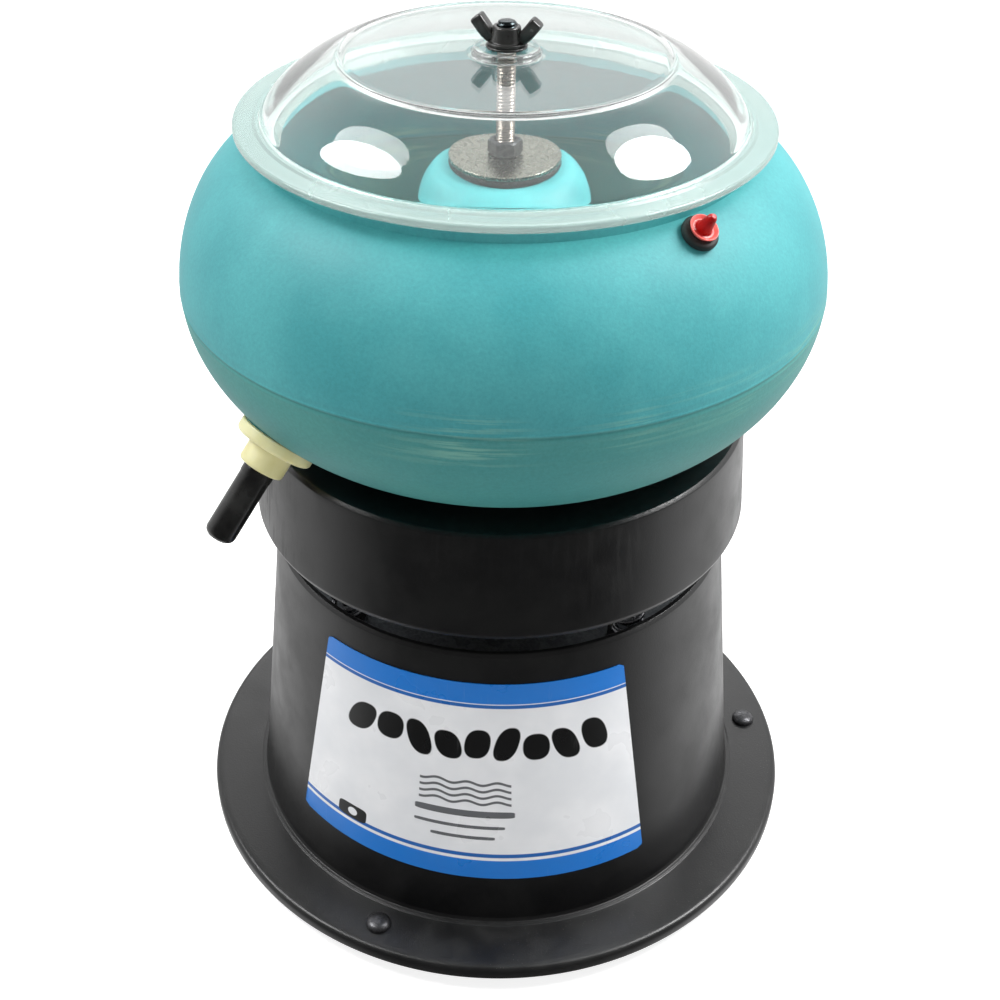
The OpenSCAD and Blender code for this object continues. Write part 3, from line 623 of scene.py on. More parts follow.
def redVinyl():
    # deep red in the thick stem, pink in the thin rim; the rim's share is an attribute of the mesh
    material, tree, shader, place = startMaterial(
        "redVinyl", 0.3, Specular_IOR_Level=0.3, Subsurface_Weight=0.05,
        Subsurface_Radius=(1.0, 0.25, 0.2), Subsurface_Scale=0.002)
    rim = addNode(tree, "Attribute", attribute_name="thinness").outputs["Fac"]
    cloud = noise(tree, place, 300.0, 3.0)
    red = blended(tree, ramped(tree, cloud, 0.3, 0.7), tint(132, 0, 1), tint(160, 2, 3))
    colour = blended(tree, ramped(tree, rim, 0.25, 0.9), red, tint(232, 104, 98))
    surfaced(tree, shader, colour, ramped(tree, cloud, 0.3, 0.7, 0.24, 0.38), cloud, 0.06)
    return material


labelPrint = {
    "film": tint(226, 227, 229), "filmShade": tint(216, 218, 221), "blue": tint(18, 112, 198),
    "line": tint(22, 92, 168), "ink": tint(14, 14, 15), "grey": tint(96, 98, 101),
    "blueStrips": [(0.905, 1.01), (-0.01, 0.098)], "lineStrips": [(0.884, 0.901), (0.114, 0.134)],
    "pebbles": {"count": 9, "from": 0.145, "to": 0.885, "middle": 0.70, "height": 0.074, "width": 0.040},
    "ripples": {"count": 4, "from": 0.34, "to": 0.62, "low": 0.405, "high": 0.505, "depth": 0.008,
                "pitch": 68.0, "halfLine": 0.0065},
    "marks": [  # ink, blockiness, centre and half size
        ("grey", 8.0, (0.48, 0.345), (0.15, 0.017)), ("grey", 8.0, (0.465, 0.275), (0.135, 0.0085)),
        ("grey", 8.0, (0.475, 0.218), (0.095, 0.0085)), ("ink", 5.0, (0.145, 0.158), (0.043, 0.038)),
        ("filmShade", 2.0, (0.145, 0.158), (0.014, 0.021))],
}


def printedLabel():
    # printed film: blue bands, a row of pebbles, ripples, plain bars and a badge, placed by the UV map
    material, tree, shader, place = startMaterial("printedLabel", 0.3, Coat_Weight=0.25,
                                                  Coat_Roughness=0.15)
    u, v = axesOf(tree, addNode(tree, "UVMap", uv_map="label").outputs["UV"])[:2]
    soft = 0.0016

    def strip(value, low, high):
        return product(tree, ramped(tree, value, low - soft, low + soft),
                       ramped(tree, value, high - soft, high + soft, 1.0, 0.0))

    def stamp(colour, ink, centre, half, blockiness, lean=0.0):
        # one printed shape in one ink
        mask = effect(tree, "printedShape", U=u, V=v, Centre_U=centre[0], Centre_V=centre[1],
                      Half_Width=half[0], Half_Height=half[1], Blockiness=blockiness, Lean=lean)["Mask"]
        return blended(tree, mask, colour, labelPrint[ink])

    cloud = noise(tree, place, 40.0, 3.0)
    colour = blended(tree, ramped(tree, cloud, 0.3, 0.7), labelPrint["film"], labelPrint["filmShade"])
    for ink in ("blue", "line"):
        for low, high in labelPrint[ink + "Strips"]:
            colour = blended(tree, strip(v, low, high), colour, labelPrint[ink])
    row = labelPrint["pebbles"]
    for number in range(row["count"]):
        share = number / (row["count"] - 1)
        swell = math.sin(number * 2.3)  # no two neighbours alike
        along = row["from"] + (row["to"] - row["from"]) * share
        centre = along, row["middle"] + 0.012 * math.sin(number * 1.7)
        half = row["width"] * (1 + 0.07 * swell), row["height"] * (1 - 0.13 * swell)
        colour = stamp(colour, "ink", centre, half, 2.4, 0.22 * math.cos(number * 1.3))
    waves = labelPrint["ripples"]
    across = strip(u, waves["from"], waves["to"])
    wave = product(tree, worked(tree, "SINE", product(tree, u, waves["pitch"])), waves["depth"])
    waved = worked(tree, "SUBTRACT", v, wave)
    for number in range(waves["count"]):
        middle = waves["low"] + (waves["high"] - waves["low"]) * number / (waves["count"] - 1)
        line = strip(waved, middle - waves["halfLine"], middle + waves["halfLine"])
        colour = blended(tree, product(tree, line, across), colour, labelPrint["grey"])
    for ink, blockiness, centre, half in labelPrint["marks"]:
        colour = stamp(colour, ink, centre, half, blockiness)
    scratches = effect(tree, "streaks", place, Stretch=(500.0, 60.0, 40.0), Threshold=0.62)["Mask"]
    colour = blended(tree, product(tree, scratches, 0.06), colour, tint(200, 200, 200))
    surfaced(tree, shader, colour, ramped(tree, cloud, 0.3, 0.7, 0.26, 0.38), cloud, 0.04, 0.001)
    return material


bowlShape = {
    "troughRadius": 66.45, "middleHeight": 301.8, "mouthRadius": 94.8, "mouthHeight": 361.9,
    "bellyRoundness": 1.975, "shoulderRoundness": 1.835, "wall": 5.0,
    "lipOutside": 103.0, "lipInside": 93.5,
    "columnHeight": 344.0, "columnTop": 25.0, "columnRadius": 38.0, "columnRise": 22.0, "hole": 4.3,
    "partingHeight": 301.8, "padRadius": 15.5, "padIn": 6.8, "seat": 1.2, "seatRadius": 17.6,
    "steps": 216, "spacing": 3.2,
    "drain": {"azimuth": -52.5, "angle": 46.0, "side": -1, "bore": 6.3},
    "inlet": {"azimuth": 39.4, "angle": 66.0, "side": 1, "bore": 5.6},
}

clearTint = (0.97, 0.99, 0.98, 1)
finishes = {
    "black_housing": blackPlastic("blackHousing", tint(20, 20, 21), tint(27, 27, 27), 0.36, 1300.0, 0.14,
                                  0.45),
    "black_skirt": blackPlastic("blackSkirt", tint(17, 17, 18), tint(24, 24, 24), 0.33, 1600.0, 0.08,
                                0.15, 0.1),
    "black_cover": blackPlastic("blackCover", tint(30, 30, 30), tint(38, 38, 38), 0.5, 1100.0, 0.2, 0.0),
    "label": printedLabel(),
    "black_rubber": rubber("blackRubber", tint(24, 24, 24), 0.66),
    "cap_rubber": rubber("capRubber", tint(13, 13, 13), 0.17, 0.02),
    "dark_steel": metal("darkSteel", tint(92, 92, 94), tint(58, 58, 60), 0.36, metallic=0.85),
    "black_nylon": rubber("blackNylon", tint(13, 14, 15), 0.2, 0.03),
    "zinc_steel": metal("zincSteel", tint(178, 174, 163), tint(140, 138, 130), 0.22, spangle=900.0),
    "rod_steel": rodSteel(),
    "spring_steel": metal("springSteel", tint(214, 214, 216), tint(150, 150, 154), 0.22),
    "plate_steel": metal("plateSteel", tint(180, 183, 186), tint(136, 140, 144), 0.38, spangle=260.0),
    "teal_bowl": tealCast(),
    "clear_lid": clearPlastic("clearLid", clearTint, 0.012, 0.978, 0.03, clearTint),
    "red_plug": redVinyl(),
    "cream_nylon": creamNylon(),
    "screen_steel": metal("screenSteel", tint(204, 205, 206), tint(150, 152, 154), 0.3),
    "motor_paint": metal("motorPaint", tint(84, 88, 96), tint(70, 74, 82), 0.42, (200.0, 200.0, 200.0),
                         0.2),
    "cast_aluminium": metal("castAluminium", tint(196, 198, 200), tint(158, 160, 163), 0.48,
                            (90.0, 90.0, 90.0)),
    "lamination": metal("lamination", tint(120, 120, 124), tint(78, 78, 82), 0.45, (6.0, 6.0, 260.0)),
    "copper": metal("copper", tint(190, 106, 54), tint(136, 66, 30), 0.34, (30.0, 30.0, 500.0)),
    "white_nylon": creamNylon(),
    "cast_iron": metal("castIron", tint(88, 88, 90), tint(60, 60, 62), 0.58, (120.0, 120.0, 120.0), 0.7),
}
milkyRim = clearPlastic("milkyRim", (0.34, 0.43, 0.41, 1), 0.22, 0.62, 0.06, (0.72, 0.83, 0.81, 1))
print("materials made:", len(bpy.data.materials))


# ---- bowl

def bowlPlace(spot):
    # the frame of a fitting on the bowl: its origin on the skin, its Z along the outward normal
    low, high = boxOf("bowl")
    angle, middle = math.radians(spot["angle"]), bowlShape["middleHeight"]
    if spot["side"] > 0:
        centre, roundness = (bowlShape["mouthRadius"], middle), bowlShape["shoulderRoundness"]
        reach = (high[0] - centre[0], bowlShape["mouthHeight"] - centre[1])
    else:
        centre, roundness = (bowlShape["troughRadius"], middle), bowlShape["bellyRoundness"]
        reach = (high[0] - centre[0], centre[1] - low[2])
    radius = centre[0] + reach[0] * math.cos(angle) ** (2 / roundness)
    rise = reach[1] * math.sin(angle) ** (2 / roundness)
    lean = math.atan2(math.cos(angle) ** (2 - 2 / roundness) / reach[0],
                      math.sin(angle) ** (2 - 2 / roundness) / reach[1])
    if spot["side"] < 0:
        rise, lean = -rise, math.pi - lean
    return around(spot["azimuth"], radius, centre[1] + rise) @ Matrix.Rotation(lean, 4, "Y")


def onBowl(shape, spot):
    # a (points, faces) shape moved from the fitting's own frame on to the bowl
    return carried(shape[0], shape[1], [bowlPlace(spot)])


def bowlOutline():
    # outside up to the lip, inside down to the trough, up over the column and back underneath it
    low, high = boxOf("bowl")
    size = bowlShape
    reach = high[0] - size["troughRadius"], high[0] - size["mouthRadius"]
    down, up = size["middleHeight"] - low[2], size["mouthHeight"] - size["middleHeight"]
    belly = (size["troughRadius"], size["middleHeight"])
    shoulder = (size["mouthRadius"], size["middleHeight"])
    lipShare = (size["lipOutside"] - size["mouthRadius"]) / reach[1]
    lipAngle = math.degrees(math.acos(lipShare ** (size["shoulderRoundness"] / 2)))
    wall, column = size["wall"], (size["troughRadius"], size["columnHeight"] - size["columnRise"])
    columnEdge, bend = (size["columnTop"], column[1]), size["columnRadius"] - size["columnTop"]
    drop = column[1] - low[2]
    lip = rounded([(size["lipOutside"], high[2] - 4, 0), (size["lipOutside"], high[2], 0.9),
                   (size["lipInside"], high[2], 0.9),
                   (size["lipInside"], size["mouthHeight"] - wall + 0.6, 0)])
    parts = [
        superArc(belly, (reach[0], -down), size["bellyRoundness"], 90, 3, 48),
        np.stack([np.full(25, high[0]), size["middleHeight"] + np.linspace(-3, 3, 25)], -1),
        superArc(shoulder, (reach[1], up), size["shoulderRoundness"], 5, lipAngle, 40), lip[1:],
        superArc(shoulder, (reach[1] - wall, up - wall), size["shoulderRoundness"], 89, 2, 28),
        superArc(belly, (reach[0] - wall, wall - down), size["bellyRoundness"], 2, 90, 34),
        superArc(column, (size["columnRadius"] - column[0], wall - drop), 2, 86, 2, 30),
        superArc(columnEdge, (bend, size["columnRise"]), 2, 2, 90, 18),
        np.array([(size["hole"], size["columnHeight"]), (size["hole"], size["columnHeight"] - wall)]),
        superArc((size["columnTop"] - wall, column[1]), (bend, size["columnRise"] - wall), 2, 90, 2, 18),
        superArc(column, (size["columnRadius"] - wall - column[0], -drop), 2, 2, 88, 26)]
    outline = np.concatenate(parts)
    # the moulding's parting line: a slight bead with a groove under it
    fromLine = outline[:, 1] - size["partingHeight"]
    outside = outline[:, 0] > high[0] - 2
    bead = 0.2 * np.exp(-(fromLine / 0.5) ** 2)
    groove = 0.22 * np.exp(-((fromLine + 1.3) / 0.55) ** 2)
    outline[:, 0] += outside * (bead - groove)
    return spaced(outline, size["spacing"])


def buildBowl():
    size = bowlShape
    points, faces = turned(bowlOutline(), size["steps"])
    # the casting waves very slightly: radius grows by a sum of slow sines of the angle and the height
    angle = np.arctan2(points[:, 1], points[:, 0])
    wave = 0.10 * np.sin(3 * angle + points[:, 2] / 21) + 0.06 * np.sin(7 * angle - points[:, 2] / 13)
    away = np.hypot(points[:, 0], points[:, 1])
    fade = np.clip((away - 60) / 30, 0, 1) * np.clip((360 - points[:, 2]) / 20, 0, 1)
    wave *= fade - 0.2 * (away > 100)
    points[:, :2] *= (1 + wave / np.maximum(away, 1))[:, None]
    bowl = bindMesh("castBowl", points, faces, "carriage", finishes["teal_bowl"], "teal_bowl", ["bowl"])
    pad = rounded([(0, -size["padIn"], 0), (size["padRadius"], -size["padIn"], 0.8),
                   (size["padRadius"], -size["seat"], 0.3), (0, -size["seat"], 0)])
    carve(bowl, "UNION", *onBowl(turned(spaced(pad, 3, False), 96, False), size["drain"]))
    seat = np.array([(0, -size["seat"]), (size["seatRadius"], -size["seat"]), (size["seatRadius"], 20),
                     (0, 20)])
    carve(bowl, "DIFFERENCE", *onBowl(turned(seat, 96, False), size["drain"]))
    for spot in (size["drain"], size["inlet"]):
        drill = np.array([(0, -20), (spot["bore"], -20), (spot["bore"], 20), (0, 20)], float)
        carve(bowl, "DIFFERENCE", *onBowl(turned(drill, 64, False), spot))


buildBowl()
print("bowl cast")


# ---- lid

lidShape = {"dome": 99.0, "crown": 67.8, "domeRoundness": 1.3, "wall": 3.0, "locator": 93.0,
            "locatorDepth": 5.0, "boss": 13.5, "hole": 4.25, "crownHeight": 393.6, "flangeTop": 369.95,
            "step": 1.4, "clear": 0.04, "steps": 256}


def buildLid():
    # turned shell: a flat flange with a step, a nearly conical dome, a flat crown with a bead, and a boss
    size = lidShape
    low, high = boxOf("lid")
    top, crown = size["flangeTop"], size["crownHeight"]
    under = top - size["wall"] + size["clear"]
    flange = rounded([(size["locator"] - 2.5, low[2], 0.5), (size["locator"], low[2], 0.5),
                      (size["locator"], under, 0.3), (high[0], under, 0.9), (high[0], top, 1.1),
                      (size["dome"] + 3.2, top, 0.5), (size["dome"] + 2.2, top + 0.7, 0.4),
                      (size["dome"] + 0.9, top + 0.7, 0.3), (size["dome"], top + size["step"], 0)])[:-1]
    dome = superArc((size["crown"], top + size["step"]),
                    (size["dome"] - size["crown"], crown - top - size["step"]), size["domeRoundness"], 2,
                    88, 46)
    crownBead = np.array([(0, 0.25), (-0.9, 0.45), (-1.9, 0.3), (-2.6, 0)]) + (size["crown"], crown)
    middle = rounded([(size["crown"] - 8, crown, 0), (size["boss"], crown, 0.8),
                      (size["boss"], high[2], 0.9), (size["hole"], high[2], 0.3),
                      (size["hole"], crown - size["wall"], 0.3),
                      (size["crown"], crown - size["wall"], 0)])
    inner = size["dome"] - size["crown"] - size["wall"], crown - size["wall"] - under
    inside = superArc((size["crown"], under), inner, size["domeRoundness"], 87, 12, 40)
    outline = spaced(np.concatenate([flange, dome, crownBead, middle, inside]), 2.5)
    points, faces = turned(outline, size["steps"])
    lid = bindMesh("domedLid", points, faces, "lid", finishes["clear_lid"], "clear_lid", ["lid"], 30)
    lid.data.materials.append(milkyRim)
    # faces of the flange, outside the foot of the dome, are milky
    centres = np.zeros(len(lid.data.polygons) * 3)
    lid.data.polygons.foreach_get("center", centres)
    centres = centres.reshape(-1, 3) / mm
    away = np.hypot(centres[:, 0], centres[:, 1])
    rim = (away > size["dome"] + 0.4) & (centres[:, 2] < top + size["step"])
    rim |= (centres[:, 2] < under + 1) & (away > size["locator"] - 2.6)
    lid.data.polygons.foreach_set("material_index", rim.astype(np.int32))


buildLid()
print("lid turned")


# ---- clamp rod, nuts and washers

rodShape = {"pitch": 25.4 / 18, "depth": 0.62, "threadFrom": 336.0, "tip": 1.6, "tipIn": 1.9,
            "sides": 36, "rowsPerTurn": 7}


def buildRod():
    # threaded rod: the radius drops from the crest by a rounded saw of (height / pitch - angle / turn)
    low, high = boxOf("center_rod")
    size, crest = rodShape, high[0]
    step = size["pitch"] / size["rowsPerTurn"]
    heights = np.concatenate([[low[2], low[2], low[2] + 1],
                              np.linspace(low[2] + 10, size["threadFrom"], 12),
                              np.arange(size["threadFrom"] + step, high[2] - 0.05, step),
                              [high[2], high[2]]])
    angle = np.linspace(0, 2 * np.pi, size["sides"], endpoint=False)
    z, a = np.meshgrid(heights, angle, indexing="ij")
    saw = np.abs(2 * ((z / size["pitch"] - a / (2 * np.pi)) % 1) - 1)
    cut = size["depth"] * np.clip(1.35 * saw - 0.12, 0, 1) * (z > size["threadFrom"])
    end = np.clip((high[2] - z) / size["tip"], 0, 1)
    r = np.minimum(crest - cut, crest - size["tipIn"] + size["tipIn"] * np.sqrt(1 - (1 - end) ** 2))
    r[[0, -1]] = 0  # both ends close on the axis
    points = np.stack([r * np.cos(a), r * np.sin(a), z], -1).reshape(-1, 3)
    bindMesh("threadedRod", points, gridFaces(len(heights), len(angle)), "carriage",
             finishes["rod_steel"], "rod_steel", ["center_rod"], 60)


def hexNut(bottom, top, flats, bore, steps=96):
    # a hexagon cut back by a 30 degree cone at both ends: r = min(hexagon(a), cone(z))
    edge = flats / 2
    face, corner = edge * 0.95, edge / math.cos(math.radians(30))
    angle = np.linspace(0, 2 * np.pi, steps, endpoint=False)
    hexagon = edge / np.cos((angle % (np.pi / 3)) - np.pi / 6)
    drop = (corner - face) * math.tan(math.radians(30))
    # one end from the bore outwards as (radius, distance from the end); the other end is its mirror image
    end = [(bore, 0.5), (bore + 0.5, 0), (face, 0)]
    end += [(face + (corner - face) * share, drop * share) for share in (0.34, 0.67, 1)]
    end = np.array(end + [(corner, drop + 0.3)])
    radius = np.concatenate([end[:, 0], end[::-1, 0]])[:, None]
    height = np.concatenate([bottom + end[:, 1], top - end[::-1, 1]])[:, None]
    r = np.minimum(radius, hexagon[None])
    points = np.stack([r * np.cos(angle), r * np.sin(angle), height + 0 * angle], -1)
    return points.reshape(-1, 3), gridFaces(len(height), steps, True)


def ring(bore, outside, bottom, top, edge, steps=96):
    # a flat ring with rounded outer edges
    outline = rounded([(bore, bottom, 0), (outside, bottom, edge), (outside, top, edge), (bore, top, 0)])
    return turned(spaced(outline, 2.5), steps)


clampShape = {"washerBore": 4.25, "nutBore": 4.1, "flats": 12.7,
              "rings": [  # node, piece, body, slot, rounding of the edge and air above and below
                  ("bowl_gasket", "bowlGasket", "carriage", "black_rubber", 0.8, 0.0),
                  ("bowl_washer", "bowlWasher", "carriage", "zinc_steel", 0.35, 0.0),
                  ("lid_washer", "lidWasher", "lid_washer", "black_nylon", 0.45, 0.04)]}


def buildClampStack():
    size = clampShape
    for node, name, body, slot, edge, air in size["rings"]:
        low, high = boxOf(node)
        shape = ring(size["washerBore"], high[0], low[2] + air, high[2] - air, edge)
        bindMesh(name, *shape, body, finishes[slot], slot, [node])
    low, high = boxOf("bowl_nut")
    bindMesh("bowlNut", *hexNut(low[2], high[2], size["flats"], size["nutBore"]), "carriage",
             finishes["dark_steel"], "dark_steel", ["bowl_nut"], 28)


buildRod()
buildClampStack()

wingShape = {"hub": 6.0, "hubHeight": 7.4, "foot": 7.6, "bore": 4.15, "turn": -16.0, "lean": 38.0,
             "reach": 14.8, "height": 11.7, "width": 5.4, "depth": 6.0, "length": 10.4, "edge": 1.1}


def paddle():
    # a wing: a superellipse of power 5 carried up its length and closed by a quarter round
    size = wingShape
    count = 40
    angle = np.linspace(0, 2 * np.pi, count, endpoint=False)
    power = 2 / 5
    side = np.sign(np.cos(angle)) * np.abs(np.cos(angle)) ** power * size["width"] / 2
    front = np.sign(np.sin(angle)) * np.abs(np.sin(angle)) ** power * size["depth"] / 2
    turnIn = np.linspace(0, np.pi / 2, 6)
    along = np.concatenate([[0, 0, 1.5, 3, 5, 7], size["length"] - size["edge"] * (1 - np.sin(turnIn)),
                            [size["length"]]])
    inset = np.concatenate([[9, 0.7, 0.4, 0.1, 0, 0], size["edge"] * (1 - np.cos(turnIn)), [9]])
    shrinkX = np.clip(1 - inset / (size["width"] / 2), 0, 1)[:, None]
    shrinkY = np.clip(1 - inset / (size["depth"] / 2), 0, 1)[:, None]
    points = np.stack([side * shrinkX, front * shrinkY, along[:, None] + 0 * angle], -1)
    return points.reshape(-1, 3), gridFaces(len(along), count)


def buildWingNut():
    size = wingShape
    low, high = boxOf("wing_nut")
    hub = rounded([(0, 0, 0), (size["foot"], 0, 0.3), (size["foot"], 1.1, 0.5),
                   (size["hub"] + 0.4, 1.5, 0.5), (size["hub"] - 0.5, size["hubHeight"], 0.9),
                   (0, size["hubHeight"], 0)])
    turn = Matrix.Translation((0, 0, low[2])) @ Matrix.Rotation(math.radians(size["turn"]), 4, "Z")
    nut = bindMesh("wingNut", *carried(*turned(spaced(hub, 1.5, False), 72, False), [turn]), "wing_nut",
                   finishes["black_nylon"], "black_nylon", ["wing_nut"])
    lean = math.radians(size["lean"])
    start = (size["reach"] - size["width"] / 2 * math.cos(lean) - size["length"] * math.sin(lean), 0,
             size["height"] - size["width"] / 2 * math.sin(lean) - size["length"] * math.cos(lean))
    for half in (0, math.pi):
        leaning = Matrix.Translation(start) @ Matrix.Rotation(lean, 4, "Y")
        place = turn @ Matrix.Rotation(half, 4, "Z") @ leaning
        carve(nut, "UNION", *carried(*paddle(), [place]))
    drill = np.array([(0, -2), (size["bore"], -2), (size["bore"], 20), (0, 20)], float)
    carve(nut, "DIFFERENCE", *carried(*turned(drill, 48, False), [turn]))


buildWingNut()
print("clamp rod, nuts and washers made")


# ---- inlet and drain

inletShape = {"grommet": 7.3, "grommetTop": 3.3, "bore": 3.3,
              "plug": [(0, -9, 0), (2.6, -9, 0.5), (3.2, -8, 0.4), (3.2, 3.4, 0.1), (4.6, 3.4, 0.4),
                       (5.9, 5.3, 0.25),
                       (5.5, 5.6, 0.2), (4.3, 4.5, 0.5), (3.1, 4.6, 0.5), (1.75, 11.3, 0.8),
                       (1.1, 12.4, 0.5), (0, 12.4, 0)]}
drainShape = {"nut": 17.2, "nutLow": -1.2, "nutTop": 4.3, "collar": 10.0, "collarLow": 4.5,
              "collarTop": 14.5, "spout": 4.8, "spoutEnd": 32.8, "tube": 6.2, "bore": 3.4, "inner": 13.0,
              "innerLow": -10.5, "padIn": -8.0, "capLow": 14.8, "cap": 6.7, "capBead": 6.95,
              "capEnd": 49.0, "capBore": 4.9, "capDepth": 34.6, "gasket": 13.0, "gasketTop": -6.8}


def buildInlet():
    size, spot = inletShape, bowlShape["inlet"]
    grommet = rounded([(size["bore"], -8.4, 0.4), (size["grommet"], -8.4, 0.8),
                       (size["grommet"], -6.4, 0.6), (5.5, -6.4, 0.3), (5.5, 0.3, 0.3),
                       (size["grommet"], 0.3, 0.7), (size["grommet"], size["grommetTop"], 1.2),
                       (size["bore"], size["grommetTop"], 0.4)])
    bindMesh("inletGrommet", *onBowl(turned(spaced(grommet, 1.5), 56), spot), "carriage",
             finishes["black_rubber"], "black_rubber", ["inlet_grommet"])
    outline = spaced(rounded(size["plug"]), 0.7, False)
    plug = bindMesh("inletPlug", *onBowl(turned(outline, 48, False), spot), "inlet_plug",
                    finishes["red_plug"], "red_plug", ["inlet_plug"])
    # thinness grows with the distance from the stem's axis, on the cupped rim only
    local = np.array(bowlPlace(spot).inverted())
    spots = np.zeros(len(plug.data.vertices) * 3)
    plug.data.vertices.foreach_get("co", spots)
    spots = spots.reshape(-1, 3) / mm @ local[:3, :3].T + local[:3, 3]
    onRim = (spots[:, 2] > 3.3) & (spots[:, 2] < 6)
    thin = np.clip((np.hypot(spots[:, 0], spots[:, 1]) - 2.6) / 2.6, 0, 1) * onRim
    layer = plug.data.attributes.new("thinness", "FLOAT", "POINT")
    layer.data.foreach_set("value", thin.astype(np.float32))


def buildDrain():
    size, spot = drainShape, bowlShape["drain"]
    tube = rounded([(size["bore"], size["innerLow"], 0.3), (size["inner"], size["innerLow"], 0.7),
                    (size["inner"], size["padIn"], 0.4), (size["tube"], size["padIn"], 0.3),
                    (size["tube"], size["collarLow"], 0.2), (size["collar"], size["collarLow"], 0.9),
                    (size["collar"], size["collarTop"], 1.3), (size["spout"], size["collarTop"], 0.4),
                    (size["spout"], size["spoutEnd"], 0.5), (size["bore"], size["spoutEnd"], 0.3)])
    nut = rounded([(size["tube"] + 0.1, size["nutLow"], 0.2), (size["nut"], size["nutLow"], 0.8),
                   (size["nut"], size["nutTop"], 1.7), (size["tube"] + 3.6, size["nutTop"], 0.5),
                   (size["tube"] + 3.0, size["nutTop"] - 0.5, 0.3),
                   (size["tube"] + 0.1, size["nutTop"] - 0.5, 0.2)])
    gasket = rounded([(size["tube"] + 0.1, size["padIn"], 0.2), (size["gasket"], size["padIn"], 0.3),
                      (size["gasket"], size["gasketTop"], 0.3),
                      (size["tube"] + 0.1, size["gasketTop"], 0.2)])
    cap = rounded([(0, size["capDepth"], 0), (size["capBore"], size["capDepth"], 0.8),
                   (size["capBore"], size["capLow"], 0.4), (size["capBead"], size["capLow"], 0.6),
                   (size["capBead"], size["capLow"] + 3.4, 0.7), (size["cap"], size["capLow"] + 4.4, 0.8),
                   (size["cap"], size["capEnd"] - 0.2, 3.4), (4.4, size["capEnd"], 1.5),
                   (0, size["capEnd"], 0)], 7)
    for outline, name, node, rider, slot, closed in (
            (tube, "drainTube", "drain_body", "carriage", "cream_nylon", True),
            (nut, "drainNut", "drain_nut", "carriage", "cream_nylon", True),
            (gasket, "drainGasket", "drain_gasket", "carriage", "black_rubber", True),
            (cap, "drainCap", "drain_cap", "drain_cap", "cap_rubber", False)):
        shape = turned(spaced(outline, 1.6, closed), 72, closed)
        bindMesh(name, *onBowl(shape, spot), rider, finishes[slot], slot, [node])


buildInlet()
buildDrain()
print("inlet and drain fitted")


# ---- base, skirt, feet, springs and label

baseShape = {"footHeight": 8.0, "flangeTop": 14.7, "crease": 126.3, "wallLow": (124.5, 17.1),
             "rim": (107.3, 169.8), "wall": 3.5, "ledge": 98.0, "deck": 146.0, "edge": 2.6, "steps": 240,
             "bushing": {"height": 45.0, "from": 112.0, "to": 125.0, "outside": 13.0, "bore": 8.1},
             "screws": {"circle": 138.5, "first": -23.5, "bore": 2.6}}


def wallRadius(height):
    (lowRadius, lowHeight), (rimRadius, rimHeight) = baseShape["wallLow"], baseShape["rim"]
    return lowRadius + (rimRadius - lowRadius) * (height - lowHeight) / (rimHeight - lowHeight)


def screwPlaces(start=0):
    screws = baseShape["screws"]
    return [around(screws["first"] + start + 120 * number, screws["circle"]) for number in range(3)]


def buildBase():
    size = baseShape
    out = boxOf("base_housing")[1][0]
    rim, top = size["rim"], size["flangeTop"]
    outline = rounded([
        (out - size["wall"], size["footHeight"], 0.6), (out, size["footHeight"], 0.7),
        (out, top, size["edge"]), (size["crease"] + 1.3, top, 0.8),
        (size["crease"] + 0.5, top + 0.55, 0.5), (size["crease"] - 0.9, top + 0.65, 0.6),
        (*size["wallLow"], 1.6), (wallRadius(rim[1] - 1.6), rim[1] - 1.6, 0.6),
        (rim[0] - 1.2, rim[1], 0.7), (rim[0] - size["wall"], rim[1], 0.7),
        (wallRadius(size["deck"]) - size["wall"], size["deck"], 0.4), (size["ledge"], size["deck"], 0.5),
        (size["ledge"], size["deck"] - 6, 0.8), (wallRadius(128) - size["wall"], 128, 3),
        (wallRadius(top) - size["wall"], top - size["wall"], 1.0),
        (out - size["wall"], top - size["wall"], 0.8)])
    base = bindMesh("baseHousing", *turned(spaced(outline, 2.6), size["steps"]), "base",
                    finishes["black_housing"], "black_housing", ["base_housing"], 50)
    bush = size["bushing"]
    start, end = bush["from"], bush["to"]
    lay = Matrix.Translation((0, 0, bush["height"])) @ Matrix.Rotation(math.radians(-90), 4, "X")
    boss = rounded([(0, start, 0), (bush["outside"], start, 0.8), (bush["outside"], end, 1.2),
                    (0, end, 0)])
    carve(base, "UNION", *carried(*turned(spaced(boss, 2, False), 64, False), [lay]))
    drill = np.array([(0, start - 8), (bush["bore"], start - 8), (bush["bore"], end + 8), (0, end + 8)])
    carve(base, "DIFFERENCE", *carried(*turned(drill, 48, False), [lay]))
    hole = np.array([(0, 2), (size["screws"]["bore"], 2), (size["screws"]["bore"], 30), (0, 30)], float)
    carve(base, "DIFFERENCE", *carried(*turned(hole, 24, False), screwPlaces()))


skirtShape = {"lowHeight": 184.9, "topHeight": 236.6, "low": 115.2, "top": 111.2, "wall": 3.0,
              "cover": 4.0, "hole": 4.5, "post": 5.0, "postCircle": 98.0, "plateTop": 194.0}


